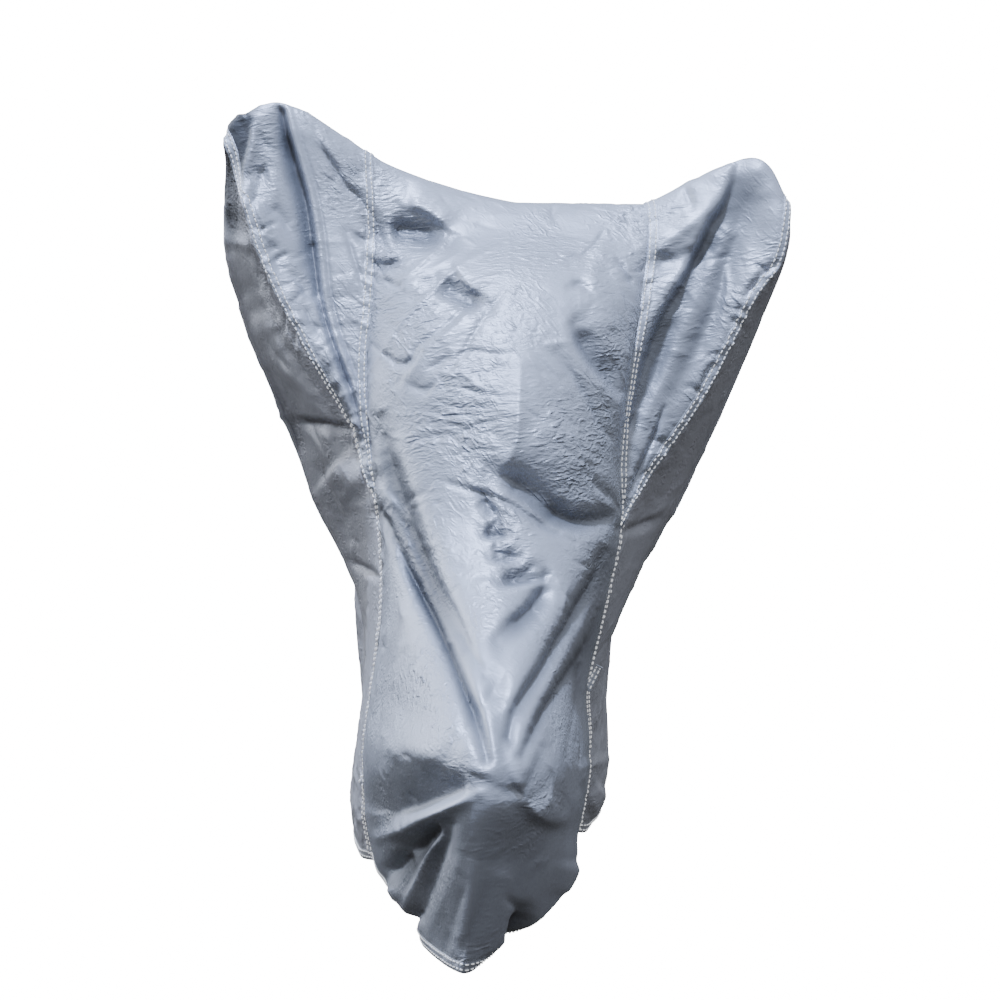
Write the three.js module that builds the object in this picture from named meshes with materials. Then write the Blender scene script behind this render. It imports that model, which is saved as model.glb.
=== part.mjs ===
// Fitted motorcycle cover, in the shape in which it hangs on a machine that leans on its side stand.
// Millimetres, +Z up. The front wheel end faces -Y, and -X is the left of someone who faces that end.
// Five sewn panels and one strap loop, each a closed sheet of its own, 0.3 mm apart along the seams.
import * as THREE from 'three';

// Driving dimensions
const CLOTH = 2; // coated cloth, as thick as its felled seams
const SEAM_GAP = 0.3; // clear gap between two panels along a seam
const TIP_SETBACK = 0.8; // a gusset's pointed end stops this short of the long seam
const CLAMP_SIDE = 30; // handlebar clamp right of the wheel line, because the machine leans
const CLAMP_HEIGHT = 1068; // ground to the underside of the cloth over the handlebar clamp
const CENTRE_CELLS = 26; // grid cells across the centre panel
const GUSSET_CELLS = 8; // grid cells across a handlebar gusset
const VIEW_POINT = { x: 0, y: -4500, z: 1200 }; // eye from which the front folds are drawn
const STRAP = { flat: 34, width: 11, thick: 2.4, curlRadius: 7, curlTurn: 1.9 }; // loop on the right seam
const STRAP_LIE = [0.45, 0, 0.89]; // direction in which the strap loop lies
const STRAP_LIFT = 0.45; // its slope away from the cloth
const STRAP_ROOT = 1.2; // its root above the seam line, clear of the cloth that swells beside it

const SILVER = 0xb4bac6;
const SHADED_SILVER = 0x8d9098;
const WEBBING = 0x3a3c42;

// Centre panel, one row per cross-section from the front hem over the handlebar to the rear hem.
// mid is the middle of the panel, left and right are its long seams, all in mm from the ground.
// fullLeft and fullRight shape each half: 1 is pulled straight, 2 is round, more is boxy.
// cells is the number of grid cells up to the next row.
const SECTIONS = [
  { at: 'front hem', mid: [-47, -722, 74], left: [-191, -110, 72], right: [112, -100, 116],
    fullLeft: 1.36, fullRight: 2.0, cells: 2 },
  { at: 'wheel bag', mid: [-29, -765, 214], left: [-204, -125, 146], right: [122, -125, 185],
    fullLeft: 1.5, fullRight: 2.2, cells: 3 },
  { at: 'nose', mid: [-6, -782, 344], left: [-205, -150, 237], right: [133, -150, 265],
    fullLeft: 1.8, fullRight: 2.0, cells: 3 },
  { at: 'mudguard', mid: [-4, -690, 437], left: [-192, -195, 346], right: [128, -190, 352],
    fullLeft: 1.6, fullRight: 1.8, cells: 3 },
  { at: 'fork', mid: [-3, -530, 530], left: [-173, -235, 481], right: [152, -225, 479],
    fullLeft: 1.6, fullRight: 1.7, cells: 3 },
  { at: 'apex', mid: [0, -410, 624], left: [-176, -215, 634], right: [177, -215, 600],
    fullLeft: 1.7, fullRight: 1.7, cells: 3 },
  { at: 'lamp', mid: [0, -345, 729], left: [-190, -190, 727], right: [176, -190, 697],
    fullLeft: 1.8, fullRight: 1.9, cells: 3 },
  { at: 'cowl', mid: [3, -290, 839], left: [-197, -160, 828], right: [190, -160, 806],
    fullLeft: 1.8, fullRight: 1.9, cells: 3 },
  { at: 'brow', mid: [12, -200, 949], left: [-189, -115, 944], right: [210, -115, 929],
    fullLeft: 1.6, fullRight: 1.7, cells: 3 },
  { at: 'bar front', mid: [21, -90, 1024], left: [-187, -55, 1038], right: [223, -55, 1016],
    fullLeft: 1.4, fullRight: 1.5, cells: 2 },
  { at: 'bar', mid: [30, 0, 1070], left: [-193, 0, 1141], right: [221, 0, 1068],
    fullLeft: 1.25, fullRight: 1.3, cells: 2 },
  { at: 'bar back', mid: [28, 110, 1042], left: [-175, 75, 1075], right: [205, 75, 1032],
    fullLeft: 1.3, fullRight: 1.4, cells: 3 },
  { at: 'tank', mid: [15, 330, 985], left: [-165, 270, 935], right: [185, 270, 910],
    fullLeft: 2.2, fullRight: 2.2, cells: 4 },
  { at: 'seat', mid: [-5, 680, 835], left: [-175, 680, 765], right: [165, 680, 755],
    fullLeft: 2.4, fullRight: 2.4, cells: 4 },
  { at: 'tail', mid: [-10, 1090, 850], left: [-150, 1060, 765], right: [130, 1060, 758],
    fullLeft: 2.2, fullRight: 2.2, cells: 5 },
  { at: 'rump', mid: [-18, 1290, 730], left: [-158, 1165, 500], right: [126, 1165, 495],
    fullLeft: 2.1, fullRight: 2.1, cells: 5 },
  { at: 'back', mid: [-30, 1365, 420], left: [-172, 1190, 270], right: [120, 1190, 268],
    fullLeft: 2.1, fullRight: 2.1, cells: 4 },
  { at: 'rear hem', mid: [-36, 1345, 92], left: [-168, 1180, 80], right: [108, 1180, 82],
    fullLeft: 2.1, fullRight: 2.1, cells: 0 },
];

// Handlebar gussets, one row per section that they cross: crest is the middle, edge the outer seam.
const GUSSETS = {
  left: [
    { at: 'lamp', crest: [-208, -172, 738], edge: [-224, -140, 744] },
    { at: 'cowl', crest: [-245, -140, 846], edge: [-288, -95, 860] },
    { at: 'brow', crest: [-270, -98, 965], edge: [-350, -60, 968] },
    { at: 'bar front', crest: [-300, -50, 1085], edge: [-386, -36, 1066] },
    { at: 'bar', crest: [-334, 0, 1221], edge: [-416, 4, 1166] },
    { at: 'bar back', crest: [-295, 62, 1115], edge: [-372, 66, 1058] },
  ],
  right: [
    { at: 'lamp', crest: [203, -175, 690], edge: [231, -150, 678] },
    { at: 'cowl', crest: [250, -138, 802], edge: [308, -100, 785] },
    { at: 'brow', crest: [300, -94, 938], edge: [381, -60, 921] },
    { at: 'bar front', crest: [340, -48, 1040], edge: [428, -36, 990] },
    { at: 'bar', crest: [383, 0, 1138], edge: [439, 4, 1072] },
    { at: 'bar back', crest: [330, 62, 1066], edge: [395, 66, 990] },
  ],
};

// Side panels, one row per section: how the cloth falls from the gusset or long seam to the hem.
const FALL = { shoulder: 0.15, drape: 0.38, waist: 0.6, skirt: 0.84, hem: 1 };
const SIDES = {
  left: [
    { at: 'lamp', shoulder: [-216, -132, 650], drape: [-203, -120, 510], waist: [-204, -105, 360],
      skirt: [-221, -85, 160], hem: [-212, -70, 66] },
    { at: 'cowl', shoulder: [-280, -80, 760], drape: [-232, -60, 570], waist: [-208, -45, 385],
      skirt: [-229, -30, 155], hem: [-222, -15, 64] },
    { at: 'brow', shoulder: [-342, -30, 855], drape: [-268, -10, 610], waist: [-210, 0, 400],
      skirt: [-234, 15, 150], hem: [-228, 30, 64] },
    { at: 'bar front', shoulder: [-386, 5, 922], drape: [-288, 15, 630], waist: [-212, 25, 410],
      skirt: [-235, 45, 150], hem: [-230, 60, 66] },
    { at: 'bar', shoulder: [-415, 18, 966], drape: [-297, 32, 637], waist: [-214, 45, 415],
      skirt: [-234, 70, 150], hem: [-230, 90, 68] },
    { at: 'bar back', shoulder: [-345, 90, 885], drape: [-264, 120, 650], waist: [-217, 140, 420],
      skirt: [-230, 150, 160], hem: [-229, 160, 70] },
    { at: 'tank', shoulder: [-210, 290, 825], drape: [-232, 300, 650], waist: [-230, 310, 440],
      skirt: [-226, 315, 180], hem: [-228, 320, 74] },
    { at: 'seat', shoulder: [-206, 680, 680], drape: [-230, 685, 550], waist: [-238, 690, 390],
      skirt: [-230, 690, 180], hem: [-224, 690, 78] },
  ],
  right: [
    { at: 'lamp', shoulder: [215, -136, 610], drape: [190, -124, 485], waist: [152, -110, 355],
      skirt: [148, -95, 190], hem: [130, -75, 108] },
    { at: 'cowl', shoulder: [278, -78, 700], drape: [226, -62, 540], waist: [162, -50, 370],
      skirt: [160, -40, 188], hem: [140, -25, 108] },
    { at: 'brow', shoulder: [352, -22, 805], drape: [260, -10, 590], waist: [167, 0, 388],
      skirt: [166, 10, 185], hem: [146, 20, 107] },
    { at: 'bar front', shoulder: [396, 5, 888], drape: [282, 18, 620], waist: [171, 25, 400],
      skirt: [169, 40, 185], hem: [148, 55, 106] },
    { at: 'bar', shoulder: [430, 16, 970], drape: [293, 30, 637], waist: [173, 40, 405],
      skirt: [171, 65, 185], hem: [150, 85, 104] },
    { at: 'bar back', shoulder: [354, 90, 855], drape: [262, 120, 640], waist: [176, 135, 415],
      skirt: [171, 145, 185], hem: [155, 155, 100] },
    { at: 'tank', shoulder: [204, 290, 795], drape: [196, 300, 630], waist: [178, 310, 430],
      skirt: [170, 315, 190], hem: [164, 320, 96] },
    { at: 'seat', shoulder: [188, 680, 670], drape: [196, 685, 540], waist: [190, 690, 385],
      skirt: [182, 690, 185], hem: [174, 690, 92] },
  ],
};

// Main folds. path runs in mm: x and z on the handlebar plane as seen from the view point for the
// front, y and z for the sides. height is the rise or, below 0, the depth, and width the half width.
const FOLDS = {
  front: [
    { at: 'left grip pleat', path: [[-328, 1205], [-308, 1095], [-287, 975], [-261, 868], [-235, 785]],
      width: 17, height: -16 },
    { at: 'right grip trough', path: [[345, 1115], [316, 1040], [275, 937], [238, 845], [215, 790]],
      width: 24, height: -18 },
    { at: 'right grip groove', path: [[367, 1050], [339, 968], [311, 883], [254, 776]],
      width: 16, height: -11 },
    { at: 'left brow dent', path: [[-165, 1010], [-85, 1028]], width: 26, height: -12 },
    { at: 'left brow pull', path: [[-15, 922], [-107, 853], [-150, 818]], width: 20, height: 8 },
    { at: 'right brow dent', path: [[115, 937], [123, 860], [165, 780]], width: 26, height: -13 },
    { at: 'lamp ridge', path: [[23, 940], [18, 800], [5, 668]], width: 60, height: 12 },
    { at: 'lamp undercut', path: [[8, 645], [70, 610], [158, 588]], width: 34, height: -22 },
    { at: 'left long trough', path: [[-185, 605], [-150, 518], [-116, 441], [-62, 323], [-27, 236]],
      width: 21, height: -20 },
    { at: 'left knee ridge', path: [[-150, 613], [-108, 504], [-70, 417], [-39, 354]], width: 24, height: 9 },
    { at: 'right long trough', path: [[155, 491], [116, 425], [81, 362], [19, 243]], width: 19, height: -17 },
    { at: 'right inner trough', path: [[57, 480], [39, 433], [5, 397]], width: 18, height: -9 },
    { at: 'right outer trough', path: [[143, 417], [109, 362], [70, 291], [28, 212]], width: 16, height: -13 },
    { at: 'left cheek hollow', path: [[-200, 196], [-141, 185], [-70, 160]], width: 36, height: -18 },
    { at: 'left cheek ridge', path: [[-44, 156], [-94, 132], [-157, 95]], width: 18, height: 13 },
    { at: 'left bag pit', path: [[-94, 100], [-133, 52], [-155, 15]], width: 24, height: -26 },
    { at: 'left hem notch', path: [[-150, 66], [-168, 24]], width: 15, height: -22 },
    { at: 'bag trough', path: [[-78, 116], [-107, 44], [-128, -40]], width: 15, height: -12 },
    { at: 'bag ridge', path: [[-31, 92], [-71, -5], [-94, -85]], width: 20, height: 9 },
    { at: 'right bag bulge', path: [[116, 42], [108, -20]], width: 24, height: 15 },
    { at: 'hem notch', path: [[39, -35], [32, -105]], width: 22, height: -20 },
  ],
  side: [
    { at: 'grip to waist', path: [[40, 1010], [110, 760], [260, 480]], width: 40, height: -16 },
    { at: 'tank to hem', path: [[330, 820], [360, 520], [430, 180]], width: 45, height: 12 },
    { at: 'seat sag', path: [[420, 800], [640, 560], [860, 420]], width: 45, height: -16 },
    { at: 'tail pull', path: [[1040, 700], [900, 430], [800, 160]], width: 45, height: 12 },
  ],
};

// Small helpers for points and curves

const point = ([x, y, z]) => new THREE.Vector3(x, y, z);

/** Cubic curve through the values at the given knots, with slopes taken across each knot's neighbours. */
function spline(knots, values) {
  const last = knots.length - 1;
  const slopes = values.map((_, i) => {
    const before = Math.max(i - 1, 0);
    const after = Math.min(i + 1, last);
    return values[after].clone().sub(values[before]).divideScalar(knots[after] - knots[before]);
  });
  return (t) => {
    let i = 0;
    while (i < last - 1 && t > knots[i + 1]) i += 1;
    const span = knots[i + 1] - knots[i];
    const u = (t - knots[i]) / span;
    return values[i].clone().multiplyScalar((1 + 2 * u) * (1 - u) ** 2)
      .addScaledVector(slopes[i], span * u * (1 - u) ** 2)
      .addScaledVector(values[i + 1], u * u * (3 - 2 * u))
      .addScaledVector(slopes[i + 1], span * u * u * (u - 1));
  };
}

/** Half of a cross-section: turns from the middle of the panel to its seam as a superellipse. */
function halfSection(mid, seam, full, angle) {
  const reach = (Math.sin(angle) ** full + Math.cos(angle) ** full) ** (-1 / full);
  const across = reach * Math.sin(angle);
  const drop = 1 - reach * Math.cos(angle);
  return new THREE.Vector3(
    THREE.MathUtils.lerp(mid.x, seam.x, across),
    THREE.MathUtils.lerp(mid.y, seam.y, drop),
    THREE.MathUtils.lerp(mid.z, seam.z, drop),
  );
}

// Grid lines along the cover

const sectionIndex = (name) => SECTIONS.findIndex((row) => row.at === name);
const APEX = sectionIndex('apex');
const TANK = sectionIndex('tank');
const TAIL = sectionIndex('tail');
const FRONT_HEM = 0;
const REAR_HEM = SECTIONS.length - 1;

const sectionKnots = [0];
for (let i = 1; i < SECTIONS.length; i += 1) {
  const step = point(SECTIONS[i].mid).distanceTo(point(SECTIONS[i - 1].mid));
  sectionKnots.push(sectionKnots[i - 1] + step);
}

/** Places along the cover between two sections, at the grid cells of the table. */
function placesBetween(first, last) {
  const places = [sectionKnots[first]];
  for (let i = first; i < last; i += 1) {
    for (let cell = 1; cell <= SECTIONS[i].cells; cell += 1) {
      places.push(THREE.MathUtils.lerp(sectionKnots[i], sectionKnots[i + 1], cell / SECTIONS[i].cells));
    }
  }
  return places;
}

const midLine = spline(sectionKnots, SECTIONS.map((row) => point(row.mid)));
const longSeam = {
  left: spline(sectionKnots, SECTIONS.map((row) => point(row.left))),
  right: spline(sectionKnots, SECTIONS.map((row) => point(row.right))),
};
const fullness = spline(sectionKnots, SECTIONS.map((row) => point([row.fullLeft, row.fullRight, 0])));

// Panel grids: rows of points on the outer face, still without folds

function centreGrid() {
  const half = CENTRE_CELLS / 2;
  return placesBetween(FRONT_HEM, REAR_HEM).map((place) => {
    const row = [];
    for (let cell = -half; cell <= half; cell += 1) {
      const side = cell < 0 ? 'left' : 'right';
      const full = cell < 0 ? fullness(place).x : fullness(place).y;
      const angle = (Math.abs(cell) / half) * (Math.PI / 2);
      row.push(Math.abs(cell) === half
        ? longSeam[side](place)
        : halfSection(midLine(place), longSeam[side](place), full, angle));
    }
    return row;
  });
}

/** Curves along a gusset: its crest and outer seam run to a point on the long seam at both ends. */
function gussetCurves(side) {
  const rows = GUSSETS[side];
  const front = longSeam[side](sectionKnots[APEX]);
  const back = longSeam[side](sectionKnots[TANK]);
  const knots = [APEX, ...rows.map((row) => sectionIndex(row.at)), TANK].map((i) => sectionKnots[i]);
  return {
    crest: spline(knots, [front, ...rows.map((row) => point(row.crest)), back]),
    edge: spline(knots, [front, ...rows.map((row) => point(row.edge)), back]),
  };
}

function gussetGrid(side) {
  const curves = gussetCurves(side);
  return placesBetween(APEX, TANK).map((place) => {
    const across = spline([0, 0.5, 1], [longSeam[side](place), curves.crest(place), curves.edge(place)]);
    const row = [];
    for (let cell = 0; cell <= GUSSET_CELLS; cell += 1) {
      row.push(cell === 0 ? longSeam[side](place) : across(cell / GUSSET_CELLS));
    }
    return row;
  });
}

function sideGrid(side) {
  const edge = gussetCurves(side).edge;
  const top = [
    ...placesBetween(APEX, TANK).map((place) => edge(place)),
    ...placesBetween(TANK, TAIL).slice(1).map((place) => longSeam[side](place)),
  ];
  const front = placesBetween(FRONT_HEM, APEX).reverse().map((place) => longSeam[side](place));
  const rear = placesBetween(TAIL, REAR_HEM).map((place) => longSeam[side](place));
  const depth = front.length - 1;
  const falls = SIDES[side].map((row) => {
    const at = sectionKnots[sectionIndex(row.at)];
    const isGusset = sectionIndex(row.at) < TANK;
    const start = isGusset ? edge(at) : longSeam[side](at);
    return spline([0, ...Object.values(FALL)], [start, ...Object.keys(FALL).map((name) => point(row[name]))]);
  });
  const knots = [APEX, ...SIDES[side].map((row) => sectionIndex(row.at)), TAIL].map((i) => sectionKnots[i]);
  const grid = [];
  for (let level = 0; level <= depth; level += 1) {
    const along = spline(knots, [front[level], ...falls.map((fall) => fall(level / depth)), rear[level]]);
    grid.push(placesBetween(APEX, TAIL).map((place) => along(place)));
    grid[level][0] = front[level];
    grid[level][grid[level].length - 1] = rear[level];
  }
  grid[0] = top;
  return grid;
}

// Folds

/** Nearest distance from a flat point to a path, and how far along the path that is, from 0 to 1. */
function alongPath(path, x, y) {
  let best = { distance: Infinity, share: 0 };
  for (let i = 0; i < path.length - 1; i += 1) {
    const [ax, ay] = path[i];
    const [bx, by] = path[i + 1];
    const length2 = (bx - ax) ** 2 + (by - ay) ** 2;
    const share = THREE.MathUtils.clamp(((x - ax) * (bx - ax) + (y - ay) * (by - ay)) / length2, 0, 1);
    const distance = Math.hypot(x - ax - share * (bx - ax), y - ay - share * (by - ay));
    if (distance < best.distance) best = { distance, share: (i + share) / (path.length - 1) };
  }
  return best;
}

/** Soft rise or trough across a fold, dying away at both ends of its path. */
function foldHeight(fold, x, y) {
  const { distance, share } = alongPath(fold.path, x, y);
  const taper = Math.sqrt(Math.sin(Math.PI * THREE.MathUtils.clamp(0.06 + 0.88 * share, 0, 1)));
  return fold.height * taper * Math.exp(-((distance / fold.width) ** 2));
}

function foldOffset(p, normal) {
  const nearer = VIEW_POINT.y / (VIEW_POINT.y - p.y);
  const frontX = VIEW_POINT.x + (p.x - VIEW_POINT.x) * nearer;
  const frontZ = VIEW_POINT.z + (p.z - VIEW_POINT.z) * nearer;
  const facesFront = THREE.MathUtils.smoothstep(-normal.y, 0.02, 0.25);
  const facesSide = THREE.MathUtils.smoothstep(Math.abs(normal.x), 0.5, 0.8) * (1 - facesFront);
  let offset = 0;
  for (const fold of FOLDS.front) offset += facesFront * foldHeight(fold, frontX, frontZ);
  for (const fold of FOLDS.side) offset += facesSide * foldHeight(fold, p.y, p.z);
  return offset;
}

// Solids

/** Outward normals at the points that panels have in common: the mean of each panel's own normal. */
function sharedNormals(panels) {
  const shared = new Map();
  const key = (p) => `${p.x.toFixed(3)},${p.y.toFixed(3)},${p.z.toFixed(3)}`;
  const addTo = (sums, name, vector) => {
    if (!sums.has(name)) sums.set(name, new THREE.Vector3());
    sums.get(name).add(vector);
  };
  for (const { grid, turn } of panels) {
    const own = new Map();
    for (let i = 0; i < grid.length - 1; i += 1) {
      for (let j = 0; j < grid[i].length - 1; j += 1) {
        const corners = [grid[i][j], grid[i + 1][j], grid[i + 1][j + 1], grid[i][j + 1]];
        const normal = corners[2].clone().sub(corners[0]).cross(corners[3].clone().sub(corners[1]));
        corners.forEach((corner) => addTo(own, key(corner), normal.clone().multiplyScalar(turn)));
      }
    }
    own.forEach((sum, name) => addTo(shared, name, sum.normalize()));
  }
  return (p) => shared.get(key(p)).clone().normalize();
}

/** True for the end row of a gusset, where all its points fall together. */
function isPointed(row) {
  return row[0].distanceTo(row[row.length - 1]) < SEAM_GAP;
}

/** Moves the rim of a panel inward, square to its seam, by half the seam gap. */
function drawInRim(grid, normals, turn) {
  const rows = grid.length - 1;
  const columns = grid[0].length - 1;
  return grid.map((row, i) => row.map((p, j) => {
    const moved = p.clone();
    if (isPointed(row)) {
      const next = grid[i === 0 ? 1 : rows - 1];
      const inside = next[0].clone().add(next[columns]).divideScalar(2).sub(p).normalize();
      return moved.addScaledVector(inside, TIP_SETBACK);
    }
    const alongRows = grid[Math.min(i + 1, rows)][j].clone().sub(grid[Math.max(i - 1, 0)][j]);
    const alongColumns = row[Math.min(j + 1, columns)].clone().sub(row[Math.max(j - 1, 0)]);
    const inward = (tangent, sign) => normals[i][j].clone().cross(tangent).normalize()
      .multiplyScalar(sign * turn * SEAM_GAP / 2);
    if (i === 0) moved.add(inward(alongColumns, -1));
    if (i === rows) moved.add(inward(alongColumns, 1));
    if (j === 0) moved.add(inward(alongRows, 1));
    if (j === columns) moved.add(inward(alongRows, -1));
    return moved;
  }));
}

/** Closed sheet: outer grid, inner grid one cloth thickness below it, and a wall round the rim. */
function sheetGeometry(grid, normals, turn) {
  const rows = grid.length - 1;
  const columns = grid[0].length - 1;
  const outer = drawInRim(grid, normals, turn);
  const positions = [];
  outer.forEach((row) => row.forEach((p) => positions.push(p.x, p.y, p.z)));
  outer.forEach((row, i) => row.forEach((p, j) => {
    const inner = p.clone().addScaledVector(normals[i][j], -CLOTH);
    positions.push(inner.x, inner.y, inner.z);
  }));
  const layer = (rows + 1) * (columns + 1);
  const at = (i, j, depth) => depth * layer + i * (columns + 1) + (isPointed(grid[i]) ? 0 : j);
  const indices = [];
  const triangle = (a, b, c) => {
    if (a === b || b === c || c === a) return;
    indices.push(...(turn > 0 ? [a, b, c] : [a, c, b]));
  };
  const quad = (a, b, c, d) => {
    triangle(a, b, c);
    triangle(a, c, d);
  };
  for (let i = 0; i < rows; i += 1) {
    for (let j = 0; j < columns; j += 1) {
      quad(at(i, j, 0), at(i + 1, j, 0), at(i + 1, j + 1, 0), at(i, j + 1, 0));
      quad(at(i, j, 1), at(i, j + 1, 1), at(i + 1, j + 1, 1), at(i + 1, j, 1));
    }
  }
  for (let i = 0; i < rows; i += 1) {
    quad(at(i, 0, 0), at(i, 0, 1), at(i + 1, 0, 1), at(i + 1, 0, 0));
    quad(at(i, columns, 0), at(i + 1, columns, 0), at(i + 1, columns, 1), at(i, columns, 1));
  }
  for (let j = 0; j < columns; j += 1) {
    quad(at(0, j, 0), at(0, j + 1, 0), at(0, j + 1, 1), at(0, j, 1));
    quad(at(rows, j, 0), at(rows, j, 1), at(rows, j + 1, 1), at(rows, j + 1, 0));
  }
  const geometry = new THREE.BufferGeometry();
  geometry.setAttribute('position', new THREE.Float32BufferAttribute(positions, 3));
  geometry.setIndex(indices);
  geometry.computeVertexNormals();
  return geometry;
}

/** Strap loop: lies flat from its root on a seam and curls away from the cloth at its free end. */
function strapGeometry(root, normal) {
  const outerRadius = STRAP.curlRadius + STRAP.thick;
  const start = -Math.PI / 2;
  const end = start + STRAP.curlTurn;
  const outline = new THREE.Shape().moveTo(0, 0).lineTo(STRAP.flat, 0);
  outline.absarc(STRAP.flat, outerRadius, outerRadius, start, end, false);
  outline.absarc(STRAP.flat, outerRadius, STRAP.curlRadius, end, start, true);
  outline.lineTo(0, STRAP.thick);
  const geometry = new THREE.ExtrudeGeometry(outline, { depth: STRAP.width, bevelEnabled: false, curveSegments: 6 });
  const flat = point(STRAP_LIE).projectOnPlane(normal).normalize();
  const along = flat.clone().addScaledVector(normal, STRAP_LIFT).normalize();
  const across = flat.clone().cross(normal);
  const lie = new THREE.Matrix4().makeBasis(along, across.clone().cross(along), across);
  lie.setPosition(root.clone().addScaledVector(normal, STRAP_ROOT).addScaledVector(across, -STRAP.width / 2));
  return geometry.applyMatrix4(lie);
}

function clothMaterial(colour) {
  return new THREE.MeshStandardMaterial({ color: colour, roughness: 0.42, metalness: 0.35 });
}

const cover = new THREE.Group();
cover.position.set(-CLAMP_SIDE, 0, -CLAMP_HEIGHT);

// turn is the sense in which a grid's rows and columns face outward
const panels = [
  { name: 'centre_panel', grid: centreGrid(), turn: -1, colour: SILVER },
  { name: 'left_handlebar_gusset', grid: gussetGrid('left'), turn: 1, colour: SILVER },
  { name: 'right_handlebar_gusset', grid: gussetGrid('right'), turn: -1, colour: SILVER },
  { name: 'left_side_panel', grid: sideGrid('left'), turn: -1, colour: SHADED_SILVER },
  { name: 'right_side_panel', grid: sideGrid('right'), turn: 1, colour: SHADED_SILVER },
];

const smoothNormal = sharedNormals(panels);
for (const panel of panels) {
  panel.grid = panel.grid.map((row) => row.map((p) => {
    const normal = smoothNormal(p);
    return p.clone().addScaledVector(normal, foldOffset(p, normal));
  }));
}
const foldedNormal = sharedNormals(panels);
for (const panel of panels) {
  const normals = panel.grid.map((row) => row.map((p) => foldedNormal(p)));
  const mesh = new THREE.Mesh(sheetGeometry(panel.grid, normals, panel.turn), clothMaterial(panel.colour));
  mesh.name = panel.name;
  cover.add(mesh);
}

const centreRows = panels[0].grid;
const strapRow = centreRows[placesBetween(FRONT_HEM, sectionIndex('mudguard')).length - 1];
const strapRoot = strapRow[strapRow.length - 1];
const strapLoop = new THREE.Mesh(strapGeometry(strapRoot, foldedNormal(strapRoot)), clothMaterial(WEBBING));
strapLoop.name = 'strap_loop';
cover.add(strapLoop);

export default cover;
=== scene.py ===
"""Fitted motorcycle cover: draped panels, felled seams, hems, topstitching, strap loop and stage."""
import functools
import math

import bmesh
import bpy
import numpy as np
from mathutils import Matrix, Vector


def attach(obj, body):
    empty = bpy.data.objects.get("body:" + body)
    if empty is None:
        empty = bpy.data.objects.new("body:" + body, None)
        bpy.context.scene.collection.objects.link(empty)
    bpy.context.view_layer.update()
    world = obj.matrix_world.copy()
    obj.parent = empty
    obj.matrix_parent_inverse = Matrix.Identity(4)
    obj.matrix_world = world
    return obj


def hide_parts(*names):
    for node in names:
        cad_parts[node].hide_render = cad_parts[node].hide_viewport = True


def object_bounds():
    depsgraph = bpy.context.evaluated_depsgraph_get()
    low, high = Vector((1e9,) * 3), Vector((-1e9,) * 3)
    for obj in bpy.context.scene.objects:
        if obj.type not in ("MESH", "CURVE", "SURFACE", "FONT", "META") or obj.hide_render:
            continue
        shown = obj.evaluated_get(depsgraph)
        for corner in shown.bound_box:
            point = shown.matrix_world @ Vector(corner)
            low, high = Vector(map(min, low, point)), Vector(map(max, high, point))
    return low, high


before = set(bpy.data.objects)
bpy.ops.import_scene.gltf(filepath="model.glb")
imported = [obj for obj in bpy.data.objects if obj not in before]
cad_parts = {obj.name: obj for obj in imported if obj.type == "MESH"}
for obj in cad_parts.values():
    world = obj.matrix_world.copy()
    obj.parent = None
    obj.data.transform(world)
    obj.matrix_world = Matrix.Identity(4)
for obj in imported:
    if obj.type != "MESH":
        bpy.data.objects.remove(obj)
CAD_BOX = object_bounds()

bl_info = {
    "name": "Fitted motorcycle cover",
    "version": (1, 0, 0),
    "blender": (4, 5, 0),
    "location": "View3D > Sidebar > Cover",
    "description": "Draped cloth panels with felled seams, hems, topstitching and a strap loop",
    "category": "Add Mesh",
}

# Origin and view, in mm from the ground
CLAMP = (30.0, 0.0, 1068.0)  # underside of the cloth over the handlebar clamp, the frame's origin
EYE = (0.0, -4500.0, 1200.0)  # where the camera stands
PITCH = math.radians(7.43)  # how far the camera looks down
FOCAL = 2.94  # focal length over picture width
PICTURE = 1000.0  # units across the picture in which the front folds are drawn
SEED = 7

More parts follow.
